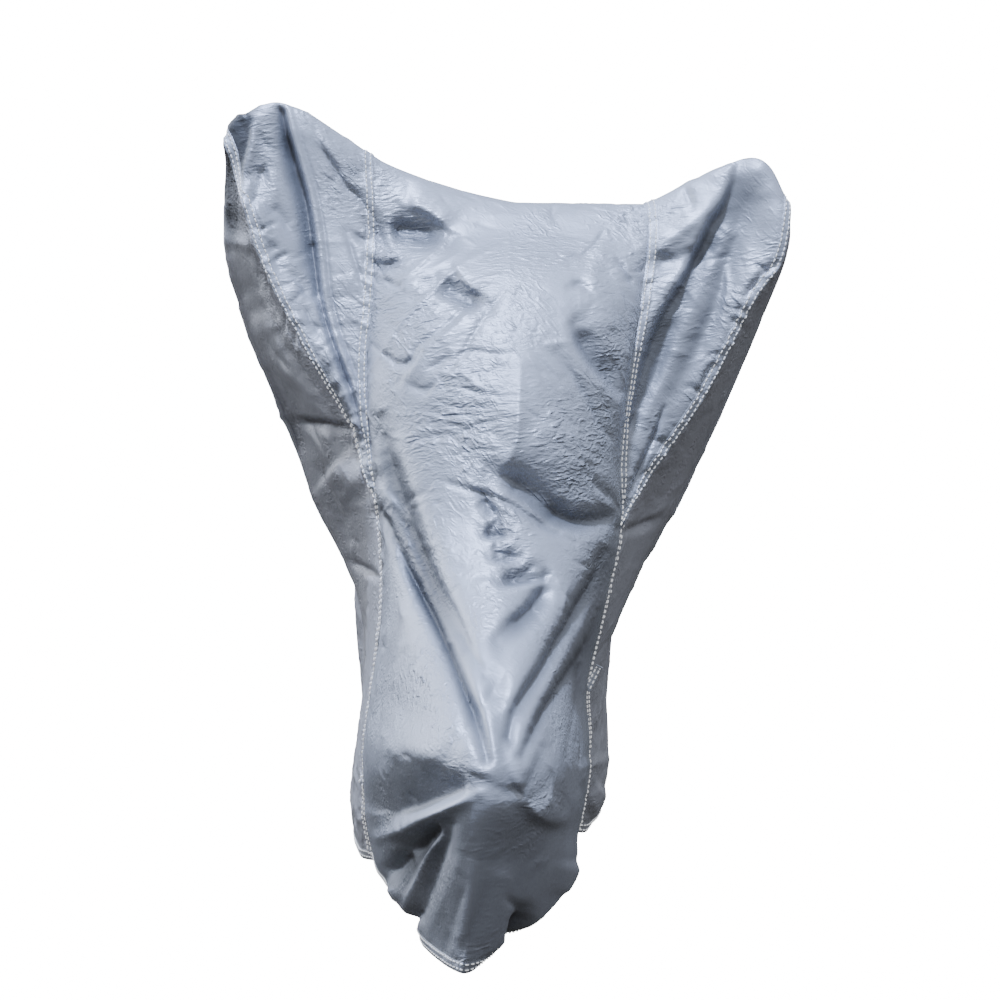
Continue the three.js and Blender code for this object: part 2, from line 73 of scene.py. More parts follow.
# Centre panel, one row per cross-section from the front hem over the handlebar to the rear hem:
# middle, left seam and right seam in mm, fullness of each half, grid cells to the next row.
SECTIONS = [
    ("front hem", (-47, -722, 74), (-191, -110, 72), (112, -100, 116), 1.36, 2.0, 2),
    ("wheel bag", (-29, -765, 214), (-204, -125, 146), (122, -125, 185), 1.5, 2.2, 3),
    ("nose", (-6, -782, 344), (-205, -150, 237), (133, -150, 265), 1.8, 2.0, 3),
    ("mudguard", (-4, -690, 437), (-192, -195, 346), (128, -190, 352), 1.6, 1.8, 3),
    ("fork", (-3, -530, 530), (-173, -235, 481), (152, -225, 479), 1.6, 1.7, 3),
    ("apex", (0, -410, 624), (-176, -215, 634), (177, -215, 600), 1.7, 1.7, 3),
    ("lamp", (0, -345, 729), (-190, -190, 727), (176, -190, 697), 1.8, 1.9, 3),
    ("cowl", (3, -290, 839), (-197, -160, 828), (190, -160, 806), 1.8, 1.9, 3),
    ("brow", (12, -200, 949), (-189, -115, 944), (210, -115, 929), 1.6, 1.7, 3),
    ("bar front", (21, -90, 1024), (-187, -55, 1038), (223, -55, 1016), 1.4, 1.5, 2),
    ("bar", (30, 0, 1070), (-193, 0, 1141), (221, 0, 1068), 1.25, 1.3, 2),
    ("bar back", (28, 110, 1042), (-175, 75, 1075), (205, 75, 1032), 1.3, 1.4, 3),
    ("tank", (15, 330, 985), (-165, 270, 935), (185, 270, 910), 2.2, 2.2, 4),
    ("seat", (-5, 680, 835), (-175, 680, 765), (165, 680, 755), 2.4, 2.4, 4),
    ("tail", (-10, 1090, 850), (-150, 1060, 765), (130, 1060, 758), 2.2, 2.2, 5),
    ("rump", (-18, 1290, 730), (-158, 1165, 500), (126, 1165, 495), 2.1, 2.1, 5),
    ("back", (-30, 1365, 420), (-172, 1190, 270), (120, 1190, 268), 2.1, 2.1, 4),
    ("rear hem", (-36, 1345, 92), (-168, 1180, 80), (108, 1180, 82), 2.1, 2.1, 0),
]
NAMES = [row[0] for row in SECTIONS]
APEX, TANK, TAIL, LAST = NAMES.index("apex"), NAMES.index("tank"), NAMES.index("tail"), len(NAMES) - 1
FINE = dict.fromkeys(NAMES[:NAMES.index("bar back")], 12)  # how much finer than the solid's cells
FINE.update({"bar back": 8, "tank": 10, "seat": 10})
REAR_FINE = 5
HALF_COLUMNS = 90  # cells in each half of the centre panel
GUSSET_COLUMNS = 80

# Handlebar gussets, one row per section: crest, then outer seam.
GUSSETS = {
    "left": [
        ("lamp", (-208, -172, 738), (-224, -140, 744)),
        ("cowl", (-245, -140, 846), (-288, -95, 860)),
        ("brow", (-270, -98, 965), (-350, -60, 968)),
        ("bar front", (-300, -50, 1085), (-386, -36, 1066)),
        ("bar", (-334, 0, 1221), (-416, 4, 1166)),
        ("bar back", (-295, 62, 1115), (-372, 66, 1058)),
    ],
    "right": [
        ("lamp", (203, -175, 690), (231, -150, 678)),
        ("cowl", (250, -138, 802), (308, -100, 785)),
        ("brow", (300, -94, 938), (381, -60, 921)),
        ("bar front", (340, -48, 1040), (428, -36, 990)),
        ("bar", (383, 0, 1138), (439, 4, 1072)),
        ("bar back", (330, 62, 1066), (395, 66, 990)),
    ],
}

# Side panels, one row per section: shoulder, drape, waist, skirt and hem, at these shares of the fall.
FALL = (0.0, 0.15, 0.38, 0.6, 0.84, 1.0)
SIDES = {
    "left": [
        ("lamp", (-216, -132, 650), (-203, -120, 510), (-204, -105, 360), (-221, -85, 160),
         (-212, -70, 66)),
        ("cowl", (-280, -80, 760), (-232, -60, 570), (-208, -45, 385), (-229, -30, 155), (-222, -15, 64)),
        ("brow", (-342, -30, 855), (-268, -10, 610), (-210, 0, 400), (-234, 15, 150), (-228, 30, 64)),
        ("bar front", (-386, 5, 922), (-288, 15, 630), (-212, 25, 410), (-235, 45, 150), (-230, 60, 66)),
        ("bar", (-415, 18, 966), (-297, 32, 637), (-214, 45, 415), (-234, 70, 150), (-230, 90, 68)),
        ("bar back", (-345, 90, 885), (-264, 120, 650), (-217, 140, 420), (-230, 150, 160),
         (-229, 160, 70)),
        ("tank", (-210, 290, 825), (-232, 300, 650), (-230, 310, 440), (-226, 315, 180), (-228, 320, 74)),
        ("seat", (-206, 680, 680), (-230, 685, 550), (-238, 690, 390), (-230, 690, 180), (-224, 690, 78)),
    ],
    "right": [
        ("lamp", (215, -136, 610), (190, -124, 485), (152, -110, 355), (148, -95, 190), (130, -75, 108)),
        ("cowl", (278, -78, 700), (226, -62, 540), (162, -50, 370), (160, -40, 188), (140, -25, 108)),
        ("brow", (352, -22, 805), (260, -10, 590), (167, 0, 388), (166, 10, 185), (146, 20, 107)),
        ("bar front", (396, 5, 888), (282, 18, 620), (171, 25, 400), (169, 40, 185), (148, 55, 106)),
        ("bar", (430, 16, 970), (293, 30, 637), (173, 40, 405), (171, 65, 185), (150, 85, 104)),
        ("bar back", (354, 90, 855), (262, 120, 640), (176, 135, 415), (171, 145, 185), (155, 155, 100)),
        ("tank", (204, 290, 795), (196, 300, 630), (178, 310, 430), (170, 315, 190), (164, 320, 96)),
        ("seat", (188, 680, 670), (196, 685, 540), (190, 690, 385), (182, 690, 185), (174, 690, 92)),
    ],
}


def alike(name, size, paths):
    """Rows of a fold table that share a name and a size."""
    return [(name, *size, path) for path in paths]


def shifted(path, right, down):
    return [(x + right, y + down) for x, y in path]


# Sizes and paths that several folds of the front share, in the form of the table below
RIM_TUCK = (-4.5, 2.6, 3.4, 0.6)
FINE_LINE = (-3, 2.6, 3, 0.6)
LEFT_PLEAT = [
    (285, 107), (290, 125), (297, 152), (305, 178), (312, 205), (317, 238), (321, 275), (325, 302),
    (334, 335), (345, 365), (356, 394), (368, 440),
]
RIGHT_GRIP = [
    (731, 164), (727, 183), (719, 203), (706, 222), (695, 246), (683, 272), (668, 296), (655, 318),
    (645, 342), (637, 365), (630, 392), (625, 420),
]

# Folds of the front, drawn top down in picture units (x to the right, y down): name, height in mm
# (below 0 it is a trough), width to the left and to the right of the path, how crisp, path.
FRONT_FOLDS = [
    # left grip
    ("left tip pocket", -13, 11, 8, 0, [(250, 117), (243, 130), (237, 144)]),
    ("left tip brim", 5, 7, 4, 0.3, [(231, 130), (239, 119), (251, 115)]),
    ("left tip lip", 10, 3, 9, 0.3,
     [(256, 121), (254, 134), (250, 150), (244, 174), (240, 206), (239, 232)]),
    *alike("left rim tuck", RIM_TUCK, [
        [(247, 204), (256, 199), (266, 197)],
        [(258, 234), (268, 226), (277, 222)],
        [(272, 264), (281, 257), (291, 254)],
        [(292, 303), (300, 295), (309, 291)],
        [(320, 357), (326, 347), (334, 341)],
    ]),
    ("left tip strip", -14, 9, 7, 0, [(233, 140), (234, 176), (235, 206), (238, 246)]),
    ("left tip facet", -6, 7, 4, 0.4, [(269, 164), (259, 186), (248, 218)]),
    ("left tip crumple", -6, 4, 6, 0.4, [(256, 128), (262, 142), (274, 152)]),
    ("left grip pleat", -24, 11, 3.5, 0.3,
     [(283, 112), (286, 132), (292, 152), (300, 178), (307, 205), (312, 238), (315, 264), (318, 294)]),
    ("left pleat top", -8, 4, 3, 0.2, [(280, 98), (284, 120), (289, 142), (295, 164)]),
    ("left low pleat", -14, 5, 3, 0.4,
     [(314, 246), (317, 272), (321, 302), (330, 335), (341, 365), (352, 394), (364, 440)]),
    ("left pleat hollow", -5, 18, 6, 0,
     [(280, 125), (287, 152), (295, 178), (302, 205), (307, 238), (311, 275), (315, 302), (324, 335)]),
    ("left pleat edge", 5, 2, 9, 0.2, LEFT_PLEAT),
    ("left pleat line", -5, 4, 2.5, 0.7, shifted(LEFT_PLEAT, 8, 0)),
    ("left gusset belly", 6, 14, 14, 0.0, [(262, 190), (278, 250), (300, 305), (326, 352)]),
    ("left gusset v", -4.8, 4, 4, 0.6, [(345, 230), (356, 264), (365, 292)]),
    ("left gusset facet four", -5, 4, 6, 0.4, [(286, 272), (298, 280), (307, 296)]),
    ("left gusset facet three", 5, 5, 7, 0.4, [(252, 202), (262, 218), (268, 238)]),
    ("left gusset facet two", -6, 5, 7, 0.4, [(266, 206), (280, 216), (292, 234)]),
    ("left gusset facet one", 5, 5, 9, 0.4, [(264, 164), (273, 182), (277, 202)]),
    ("left rim low hollow", -8, 6, 8, 0.2, [(300, 304), (312, 322), (324, 340)]),
    ("left rim hollow", -8, 8, 10, 0, [(266, 240), (275, 260), (285, 282)]),
    ("left rim crease high", -6, 3, 5, 0.5, [(240, 181), (256, 174), (273, 170)]),
    ("left shoulder edge", 5, 6, 14, 0.2,
     [(313, 120), (322, 142), (333, 154), (341, 167), (353, 186), (369, 199), (382, 214), (388, 240)]),
    ("left shoulder crease", -6, 3, 3, 0.8,
     [(314, 126), (321, 146), (328, 158), (337, 170), (346, 186), (356, 194), (366, 208), (376, 222),
      (384, 244)]),
    ("left shoulder tuck", -3, 3, 3, 0.7, [(318, 146), (330, 160), (336, 176), (332, 184)]),
    ("left shoulder branch", -4, 3, 3, 0.7, [(338, 168), (352, 176), (364, 172), (374, 182)]),
    ("left shoulder dent", -4, 4, 6, 0.4, [(342, 180), (354, 192), (366, 198)]),
    ("left seam dent", -9, 5, 6, 0.3, [(364, 222), (374, 232), (384, 246)]),
    ("left seam tuck", -7, 4, 4, 0.4, [(352, 232), (364, 240), (374, 236)]),
    ("left seam low dent", -8, 4, 5, 0.4, [(366, 262), (382, 268), (398, 262)]),
    # brow, left half
    ("left seam crease", -8, 4, 4, 0.5, [(362, 274), (380, 279), (400, 287)]),
    ("left seam crescent", -9, 5, 5, 0.3, [(368, 258), (380, 264), (392, 265), (402, 259)]),
    ("left brow edge", 13, 5, 20, 0.3, [(405, 205), (420, 207), (436, 216), (453, 231)]),
    ("left brow dent", -26, 12, 13, 0, [(388, 232), (402, 232), (422, 236), (446, 238)]),
    ("left brow white line", 1, 3, 3, 0.7, [(391, 231), (401, 236), (412, 246), (425, 259)]),
    ("left brow ribbon", 5, 7, 3, 0.5, [(454, 231), (444, 244), (430, 256), (412, 272), (394, 285)]),
    ("left brow long line", 4, 3, 3, 0.7,
     [(498, 246), (478, 256), (456, 268), (433, 292), (405, 318), (385, 347), (372, 368)]),
    ("left brow patch edge", 7, 3, 12, 0.5, [(455, 264), (463, 277), (474, 289), (489, 297)]),
    ("left brow patch", -22, 10, 12, 0, [(436, 284), (452, 292), (470, 301), (484, 308)]),
    ("left brow flap", 8, 3, 16, 0.4,
     [(489, 298), (465, 316), (445, 333), (422, 350), (414, 366), (405, 376)]),
    ("left brow flap line", -5, 2.6, 3, 0.6,
     [(480, 300), (461, 312), (441, 330), (418, 346), (409, 362)]),
    ("left brow flap edge", -4, 2.6, 3, 0.6,
     [(509, 284), (496, 302), (485, 316), (471, 338), (463, 352), (446, 372)]),
    ("left cowl crease", -9, 3, 4, 0.7, [(371, 344), (388, 357), (399, 364), (411, 361), (420, 351)]),
    ("left cowl short line", -5, 2.6, 3, 0.6, [(449, 357), (438, 364), (428, 369)]),
    ("left cowl line", -5, 2.6, 3, 0.6, [(456, 358), (472, 351), (489, 353), (512, 354)]),
    ("left cowl light line", 4, 3, 3, 0.7, [(444, 373), (464, 375), (482, 390)]),
    ("left cowl light hook", 3, 3, 3, 0.7, [(448, 376), (436, 388), (426, 402)]),
    ("left cowl low crease", -4, 2.6, 3, 0.6, [(462, 389), (480, 393), (502, 399)]),
    ("left cowl deep ripple", -4, 2.6, 3, 0.6, [(440, 432), (462, 433), (480, 424), (512, 418)]),
    *alike("left cowl ripple", FINE_LINE, [
        [(408, 442), (440, 436), (470, 444)],
        [(440, 404), (470, 408), (500, 404)],
        [(430, 410), (446, 416), (470, 416), (496, 412)],
        [(420, 424), (446, 424), (466, 430)],
        [(452, 456), (476, 450), (500, 452)],
    ]),
    ("left cowl shoulder", -5, 6, 5, 0.3, [(405, 382), (424, 390), (440, 384)]),
    ("cowl middle line", 1, 3, 3, 0.4, [(508, 235), (509, 260), (508, 303)]),
    ("brow sag", -7, 38, 34, 0, [(432, 226), (470, 238), (520, 242), (560, 242), (600, 236)]),
    # brow, right half
    ("right brow stripe", 3, 9, 12, 0.0, [(604, 236), (596, 264), (590, 300)]),
    ("right brow line", -4, 2.6, 3, 0.6, [(606, 228), (594, 245), (580, 257)]),
    ("right brow tuck", -7, 4, 5, 0.3, [(570, 287), (581, 285), (593, 293)]),
    ("right seam crease", -8, 3, 4, 0.5, [(618, 262), (626, 273), (635, 286)]),
    ("right brow belly", 5, 18, 16, 0.0, [(600, 296), (606, 318), (614, 334)]),
    ("right brow hollow", -22, 6, 17, 0.2, [(574, 326), (580, 342), (590, 359), (603, 374), (620, 392)]),
    ("right brow rim", 5, 10, 4, 0.3, [(566, 318), (573, 346), (586, 367), (602, 386), (616, 402)]),
    ("right brow long line", -7, 3, 5, 0.5,
     [(556, 352), (566, 366), (578, 384), (589, 404), (601, 429), (612, 440)]),
    *alike("right brow fine line", FINE_LINE, [
        [(532, 350), (550, 372), (566, 398)],
        [(542, 346), (560, 364), (576, 392)],
    ]),
    *alike("right cowl line", FINE_LINE, [
        [(520, 404), (534, 416), (549, 424)],
        [(540, 374), (552, 396), (568, 420), (584, 436)],
        [(566, 450), (584, 462), (606, 470)],
    ]),
    # right grip
    ("right flap", 9, 16, 8, 0.1, [(706, 210), (686, 226), (666, 240), (646, 246)]),
    ("right flap under", -12, 9, 14, 0, [(704, 246), (676, 260), (648, 266)]),
    ("right flap nick", -6, 4, 4, 0.4, [(684, 186), (688, 196), (692, 208)]),
    ("right tip swell", 8, 22, 18, 0, [(768, 196), (774, 228), (762, 262), (744, 300)]),
    ("right grip edge", 6, 14, 4, 0.2, RIGHT_GRIP),
    ("right seam crest", 7, 9, 4, 0.1, [(645, 300), (637, 345), (629, 390), (623, 440), (620, 490)]),
    ("right grip trough", -21, 7, 26, 0, shifted(RIGHT_GRIP, 8, 2)),
    ("right grip ridge", 3, 9, 9, 0,
     [(741, 205), (725, 236), (711, 266), (697, 296), (685, 326), (673, 352), (656, 392), (640, 434),
      (626, 480)]),
    ("right grip groove", -9, 9, 12, 0,
     [(744, 205), (735, 240), (727, 264), (720, 291), (711, 316), (701, 341), (689, 366), (673, 396)]),
    ("right grip hollow", -4, 24, 34, 0,
     [(738, 196), (722, 236), (706, 276), (690, 316), (672, 356), (654, 400), (638, 446)]),
    ("right grip light line", 4, 3, 4, 0.4, [(726, 268), (727, 290), (722, 318)]),
    ("right low groove", -6, 6, 8, 0.1,
     [(668, 330), (657, 368), (646, 393), (634, 414), (626, 440), (622, 470)]),
    ("right low line", -8, 3, 4, 0.5, [(664, 408), (652, 440), (636, 476), (626, 500)]),
    ("right edge tuck", -9, 5, 4, 0.4, [(780, 262), (766, 272), (755, 285), (744, 298)]),
    ("right edge nick", -7, 4, 4, 0.4, [(728, 318), (738, 323), (746, 332)]),
    ("right edge notch", -7, 4, 4, 0.4, [(718, 362), (708, 372), (702, 390)]),
    *alike("right rim tuck", RIM_TUCK, [
        [(774, 276), (763, 268), (753, 263)],
        [(752, 316), (742, 310), (730, 308)],
        [(724, 356), (714, 354), (704, 358)],
        [(704, 396), (694, 388), (684, 386)],
        [(670, 448), (661, 441), (652, 440)],
    ]),
    # lamp and chest
    ("lamp ridge", 13, 46, 40, 0.5, [(521, 366), (519, 410), (516, 442), (506, 462), (497, 476)]),
    ("lamp ridge line", 4, 14, 12, 1,
     [(521, 360), (520, 384), (519, 410), (517, 440), (508, 460), (498, 476)]),
    ("lamp belly", 12, 26, 22, 0, [(530, 420), (562, 446), (598, 470)]),
    ("lamp undercut", -24, 14, 20, 0.2,
     [(494, 478), (510, 481), (521, 488), (536, 501), (550, 513), (563, 519), (576, 523)]),
    ("lamp low undercut", -18, 11, 11, 0.2, [(556, 514), (572, 521), (588, 522), (604, 518), (620, 510)]),
    ("lamp line one", -8, 4, 3, 0.6,
     [(450, 484), (471, 490), (492, 496), (516, 507), (537, 521), (557, 533), (576, 543)]),
    ("lamp line two", 2, 3, 3, 0.6, [(514, 500), (532, 512), (552, 526), (574, 536)]),
    ("lamp corner", -8, 5, 7, 0.3, [(584, 470), (600, 490), (616, 500)]),
    ("chin low lens", -27, 3, 15, 0.3, [(500, 585), (519, 583), (543, 579)]),
    ("chin high lens", -17, 9, 5, 0.3, [(482, 497), (489, 507), (497, 518)]),
    ("chin upper lens", -18, 2.5, 13, 0.4, [(483, 537), (495, 537), (509, 536)]),
    ("chin lower lens", -17, 3, 12, 0.3, [(489, 558), (503, 561), (520, 560)]),
    ("chin edge", -6, 3, 8, 0.35,
     [(478, 490), (490, 504), (499, 516), (494, 525), (487, 533), (497, 541), (495, 551), (509, 556),
      (519, 558), (511, 570), (503, 581)]),
    ("chin lower edge", -5, 4, 6, 0.3, [(506, 582), (522, 575), (534, 566), (543, 572)]),
    ("chin flap", 4, 20, 5, 0.2, [(543, 578), (537, 594), (522, 613), (499, 636)]),
    ("chin flap trough", -30, 8, 15, 0.2, [(545, 580), (540, 594), (530, 609), (515, 623), (498, 640)]),
    ("left inner trough", -24, 14, 9, 0.1,
     [(380, 420), (390, 456), (402, 492), (414, 530), (430, 575), (446, 610), (466, 645)]),
    ("left bright ridge", 12, 9, 30, 0.1,
     [(400, 450), (410, 485), (422, 515), (436, 556), (452, 600), (474, 650)]),
    ("left knee ridge", 4, 4, 4, 0.3, [(380, 486), (401, 510), (424, 537)]),
    ("left inner line", -8, 5, 3, 0.5,
     [(414, 524), (430, 562), (443, 590), (457, 614), (469, 644), (486, 676)]),
    ("left band", -10, 12, 12, 0,
     [(388, 480), (402, 515), (418, 552), (434, 588), (452, 626), (468, 660)]),
    ("left long trough", -36, 9, 6, 0.4,
     [(384, 512), (397, 540), (410, 570), (424, 598), (438, 626), (453, 660), (465, 690), (475, 715),
      (483, 742), (487, 760)]),
    ("left thigh swell", 9, 26, 12, 0.0, [(390, 580), (410, 640), (436, 700), (462, 742)]),
    ("left thigh crumple", -6, 10, 12, 0.2, [(384, 690), (402, 704), (416, 722)]),
    ("right long trough", -28, 5, 11, 0.4,
     [(602, 552), (598, 566), (588, 584), (576, 604), (565, 624), (551, 648), (539, 670), (525, 692),
      (513, 715), (508, 738)]),
    ("right bright ridge", 4, 7, 7, 0, [(594, 604), (572, 640), (548, 682), (526, 724)]),
    ("right outer trough", -26, 5, 10, 0.4,
     [(598, 610), (585, 642), (570, 666), (555, 690), (542, 712), (530, 738), (522, 756)]),
    ("right thigh swell", 9, 10, 12, 0.0, [(574, 690), (564, 750), (555, 812)]),
    ("right knee groove", -7, 6, 9, 0.1, [(548, 736), (537, 764), (522, 792)]),
    ("right middle ridge", 9, 20, 14, 0.0, [(586, 548), (560, 600), (530, 656), (506, 708)]),
    ("apex hollow", -15, 15, 15, 0, [(492, 640), (496, 680), (500, 720), (503, 752), (505, 785)]),
    ("right knee tuck", -6, 3, 3, 0.5, [(600, 556), (590, 566), (576, 562)]),
    ("right seam tuck", -10, 3, 4, 0.4, [(577, 652), (576, 688), (572, 720), (566, 760)]),
]
# Folds of the wheel bag, the nose and the side panels, in the same form; they rise along the normals.
BAG_FOLDS = [
    # nose and bag
    ("nose ridge", 1, 14, 8, 0, [(470, 690), (478, 740), (484, 782)]),
    ("left cheek edge", 4, 14, 28, 0, [(374, 738), (404, 743), (430, 749), (447, 762), (458, 774)]),
    ("left cheek hollow", -16, 8, 30, 0, [(390, 812), (408, 808), (432, 799), (456, 793), (470, 792)]),
    ("left cheek band", 12, 6, 8, 0.2, [(424, 820), (440, 813), (456, 804), (476, 793)]),
    ("left cheek band end", 8, 6, 8, 0.1, [(380, 838), (402, 831), (420, 823), (440, 813)]),
    ("left bag pit", -18, 13, 9, 0, [(441, 824), (428, 836), (416, 848), (408, 862)]),
    ("left hem notch", -18, 8, 8, 0.2, [(402, 852), (394, 866), (386, 878)]),
    ("left bag bulge", 7, 9, 9, 0, [(392, 884), (396, 892), (402, 902)]),
    ("left bag ridge", 8, 5, 6, 0.2, [(440, 824), (433, 846), (424, 871), (412, 896), (406, 913)]),
    ("left bag trough", -9, 6, 7, 0.1, [(450, 824), (441, 850), (430, 882), (420, 916)]),
    ("left bag nick", -14, 6, 6, 0.3, [(418, 908), (411, 918), (404, 928)]),
    ("bag ridge one", 2, 6, 6, 0.1, [(462, 850), (448, 890), (426, 938)]),
    ("bag trough one", -4, 5, 6, 0.2, [(468, 880), (456, 914), (444, 956)]),
    ("bag ridge two", 2, 6, 7, 0.2, [(478, 850), (467, 889), (452, 930), (446, 956)]),
    ("bag trough two", -3, 5, 8, 0.2, [(486, 880), (476, 920), (456, 964)]),
    ("bag ridge three", 2, 7, 9, 0.1, [(502, 870), (498, 910), (484, 954)]),
    ("bag nick", -5, 3, 4, 0.5, [(505, 898), (514, 904), (523, 910)]),
    ("hem notch", -28, 9, 9, 0.2, [(524, 914), (522, 930), (516, 950)]),
    ("right bag bulge", 15, 16, 16, 0.0, [(575, 858), (571, 900)]),
    # side panels
    ("side strip fold", -8, 4, 4, 0.4, [(350, 561), (362, 568), (376, 576)]),
    ("side pocket fold", -12, 6, 4, 0.5, [(292, 422), (312, 424), (334, 427), (352, 430)]),
    ("left low side crease", -5, 5, 6, 0.4, [(322, 470), (338, 500), (346, 540)]),
    ("left side waist", -9, 18, 18, 0, [(268, 386), (282, 424), (300, 466)]),
    ("left pocket bulge", 14, 34, 26, 0, [(330, 466), (346, 479), (368, 496)]),
    ("left side dent", -4, 10, 12, 0.1, [(262, 276), (256, 300), (276, 330)]),
    ("left side fold", 5, 6, 6, 0.2, [(233, 240), (244, 244), (254, 250)]),
    ("left rim crease one", -7, 5, 5, 0.3, [(250, 246), (264, 286), (286, 330)]),
    ("left rim crease two", 13, 12, 26, 0.15, [(254, 304), (268, 336), (288, 364), (312, 392)]),
    ("left rim crease three", -7, 5, 5, 0.3, [(282, 332), (302, 366), (326, 404)]),
    ("left rim crease four", -5, 5, 6, 0.4, [(266, 326), (274, 344), (288, 360), (300, 376)]),
    ("left tip corner", 16, 12, 12, 0, [(250, 116), (241, 127), (232, 142)]),
    ("right side fold", -8, 5, 5, 0.4, [(660, 518), (642, 526), (624, 533)]),
    ("right skirt fold", 4, 5, 6, 0.2, [(582, 768), (596, 762), (608, 760)]),
    ("right skirt roll", 9, 30, 22, 0, [(582, 800), (594, 796), (606, 790)]),
    ("right skirt hollow", -3, 8, 8, 0.1, [(578, 790), (592, 785), (604, 782)]),
]

# Places in deep shade that get more painted shade than their depth gives, in the same form.
PAINTED_SHADE_PLACES = [
    ("painted shade of the tip pocket", -70, 15, 10, 0.0, [(248, 112), (241, 128), (233, 146)]),
    ("painted shade of the tip fold", -50, 10, 6, 0.0, [(248, 122), (243, 145), (238, 168), (233, 190)]),
    ("painted shade of the tip strip", -46, 9, 6, 0.0, [(231, 140), (231, 176), (232, 206), (235, 240)]),
    ("painted shade of the bag pocket", -34, 13, 13, 0.0, [(440, 830), (426, 848), (412, 864), (398, 882)]),
]

# Stretches of the front that stand nearer the camera than the solid, in the same form.
PUSHES = [
    ("left gusset rim", 24, 14, 22, 0.0,
     [(232, 150), (240, 185), (253, 215), (270, 262), (297, 315), (320, 362), (337, 392), (354, 426)]),
    ("left side swell", 34, 16, 22, 0.0,
     [(238, 210), (247, 250), (268, 300), (290, 348), (310, 392), (330, 430), (344, 470)]),
    ("right gusset rim", 24, 22, 14, 0.0,
     [(764, 168), (778, 182), (787, 204), (784, 245), (774, 270), (750, 300), (722, 355), (690, 415),
      (662, 460)]),
    ("left cheek brow", 38, 28, 110, 0.0, [(362, 736), (396, 740), (424, 744), (450, 760)]),
    ("right knee brow", 28, 10, 66, 0.0, [(528, 800), (542, 812), (556, 816), (570, 806)]),
    ("nose hollow", -28, 40, 40, 0.0, [(511, 800), (512, 860), (513, 930), (514, 1000), (515, 1080)]),
]

# Crinkled places of the front, in picture units: middle x and y, half sizes, strength.
CRINKLED = [
    (470, 425, 60, 62, 1.0), (420, 228, 34, 26, 0.9), (460, 292, 32, 26, 0.9), (420, 325, 44, 44, 0.6),
    (570, 430, 60, 66, 0.5), (560, 490, 64, 32, 0.8), (612, 268, 28, 44, 0.5), (604, 345, 34, 40, 0.6),
    (500, 540, 30, 56, 1.0), (435, 575, 24, 62, 0.7), (400, 700, 38, 44, 0.9), (470, 768, 28, 22, 0.8),
    (552, 800, 26, 22, 0.8), (345, 180, 44, 48, 0.8), (262, 175, 22, 40, 0.9), (640, 215, 44, 20, 1.0),
    (330, 330, 36, 50, 0.4), (590, 430, 36, 56, 0.5),
    (662, 300, 24, 50, 0.5), (740, 310, 26, 44, 0.7), (590, 560, 30, 40, 0.5), (400, 250, 36, 30, 0.7),
]

# Folds of both sides, in mm along and up from the ground: name, height, width, path.
SIDE_FOLDS = [
    ("grip to waist", -16, 40, [(40, 1010), (110, 760), (260, 480)]),
    ("grip second", 9, 28, [(90, 1000), (180, 780), (330, 560)]),
    ("grip third", -10, 24, [(60, 900), (70, 660), (120, 420)]),
    ("tank to hem", 12, 45, [(330, 820), (360, 520), (430, 180)]),
    ("tank hollow", -12, 34, [(250, 780), (280, 480), (300, 200)]),
    ("seat sag", -16, 45, [(420, 800), (640, 560), (860, 420)]),
    ("seat second sag", 10, 30, [(470, 700), (660, 500), (860, 350)]),
    ("seat third sag", -11, 28, [(480, 600), (650, 420), (820, 300)]),
    ("tail pull", 12, 45, [(1040, 700), (900, 430), (800, 160)]),
    ("tail hollow", -11, 32, [(1060, 640), (980, 400), (930, 140)]),
    ("rear wheel ridge", 9, 30, [(1100, 520), (1080, 320), (1060, 130)]),
    ("engine hollow", -9, 40, [(430, 420), (520, 260), (560, 100)]),
    ("hem drape one", 8, 26, [(140, 330), (130, 200), (150, 70)]),
    ("hem drape two", -8, 26, [(210, 300), (215, 190), (220, 70)]),
    ("hem drape three", 8, 28, [(650, 260), (660, 160), (650, 80)]),
    ("hem drape four", -8, 26, [(740, 270), (735, 170), (745, 80)]),
]

# Folds of the back and the top, in mm across and up, or across and along: name, height, width, path.
BACK_FOLDS = [
    ("rump left pull", -12, 26, [(-120, 760), (-70, 560), (-60, 300)]),
    ("rump right pull", -11, 26, [(90, 750), (50, 560), (30, 300)]),
    ("rump middle", 9, 30, [(-16, 700), (-22, 500), (-30, 200)]),
    ("back left drape", -9, 22, [(-130, 420), (-110, 250), (-120, 90)]),
    ("back right drape", -9, 22, [(80, 400), (66, 250), (72, 90)]),
    ("back low drape", 7, 18, [(-70, 300), (-80, 180), (-76, 90)]),
]
TOP_FOLDS = [
    ("tank left crease", -9, 20, [(-120, 150), (-90, 260), (-110, 420)]),
    ("tank right crease", -9, 20, [(130, 150), (110, 260), (120, 420)]),
    ("tank to seat sag", -14, 40, [(-120, 520), (0, 470), (110, 520)]),
    ("seat sag", -10, 38, [(-130, 640), (-10, 600), (120, 650)]),
    ("seat ridge", 8, 30, [(-120, 820), (0, 780), (100, 830)]),
    ("seat long crease", -7, 18, [(30, 620), (10, 800), (40, 980)]),
    ("tail crease", -8, 22, [(-90, 930), (-40, 1040), (-30, 1180)]),
]


def linear(hex_colour):
    """Linear red, green and blue of an sRGB hex colour."""
    parts = [int(hex_colour[i:i + 2], 16) / 255 for i in (1, 3, 5)]
    return tuple(c / 12.92 if c <= 0.04045 else ((c + 0.055) / 1.055) ** 2.4 for c in parts)


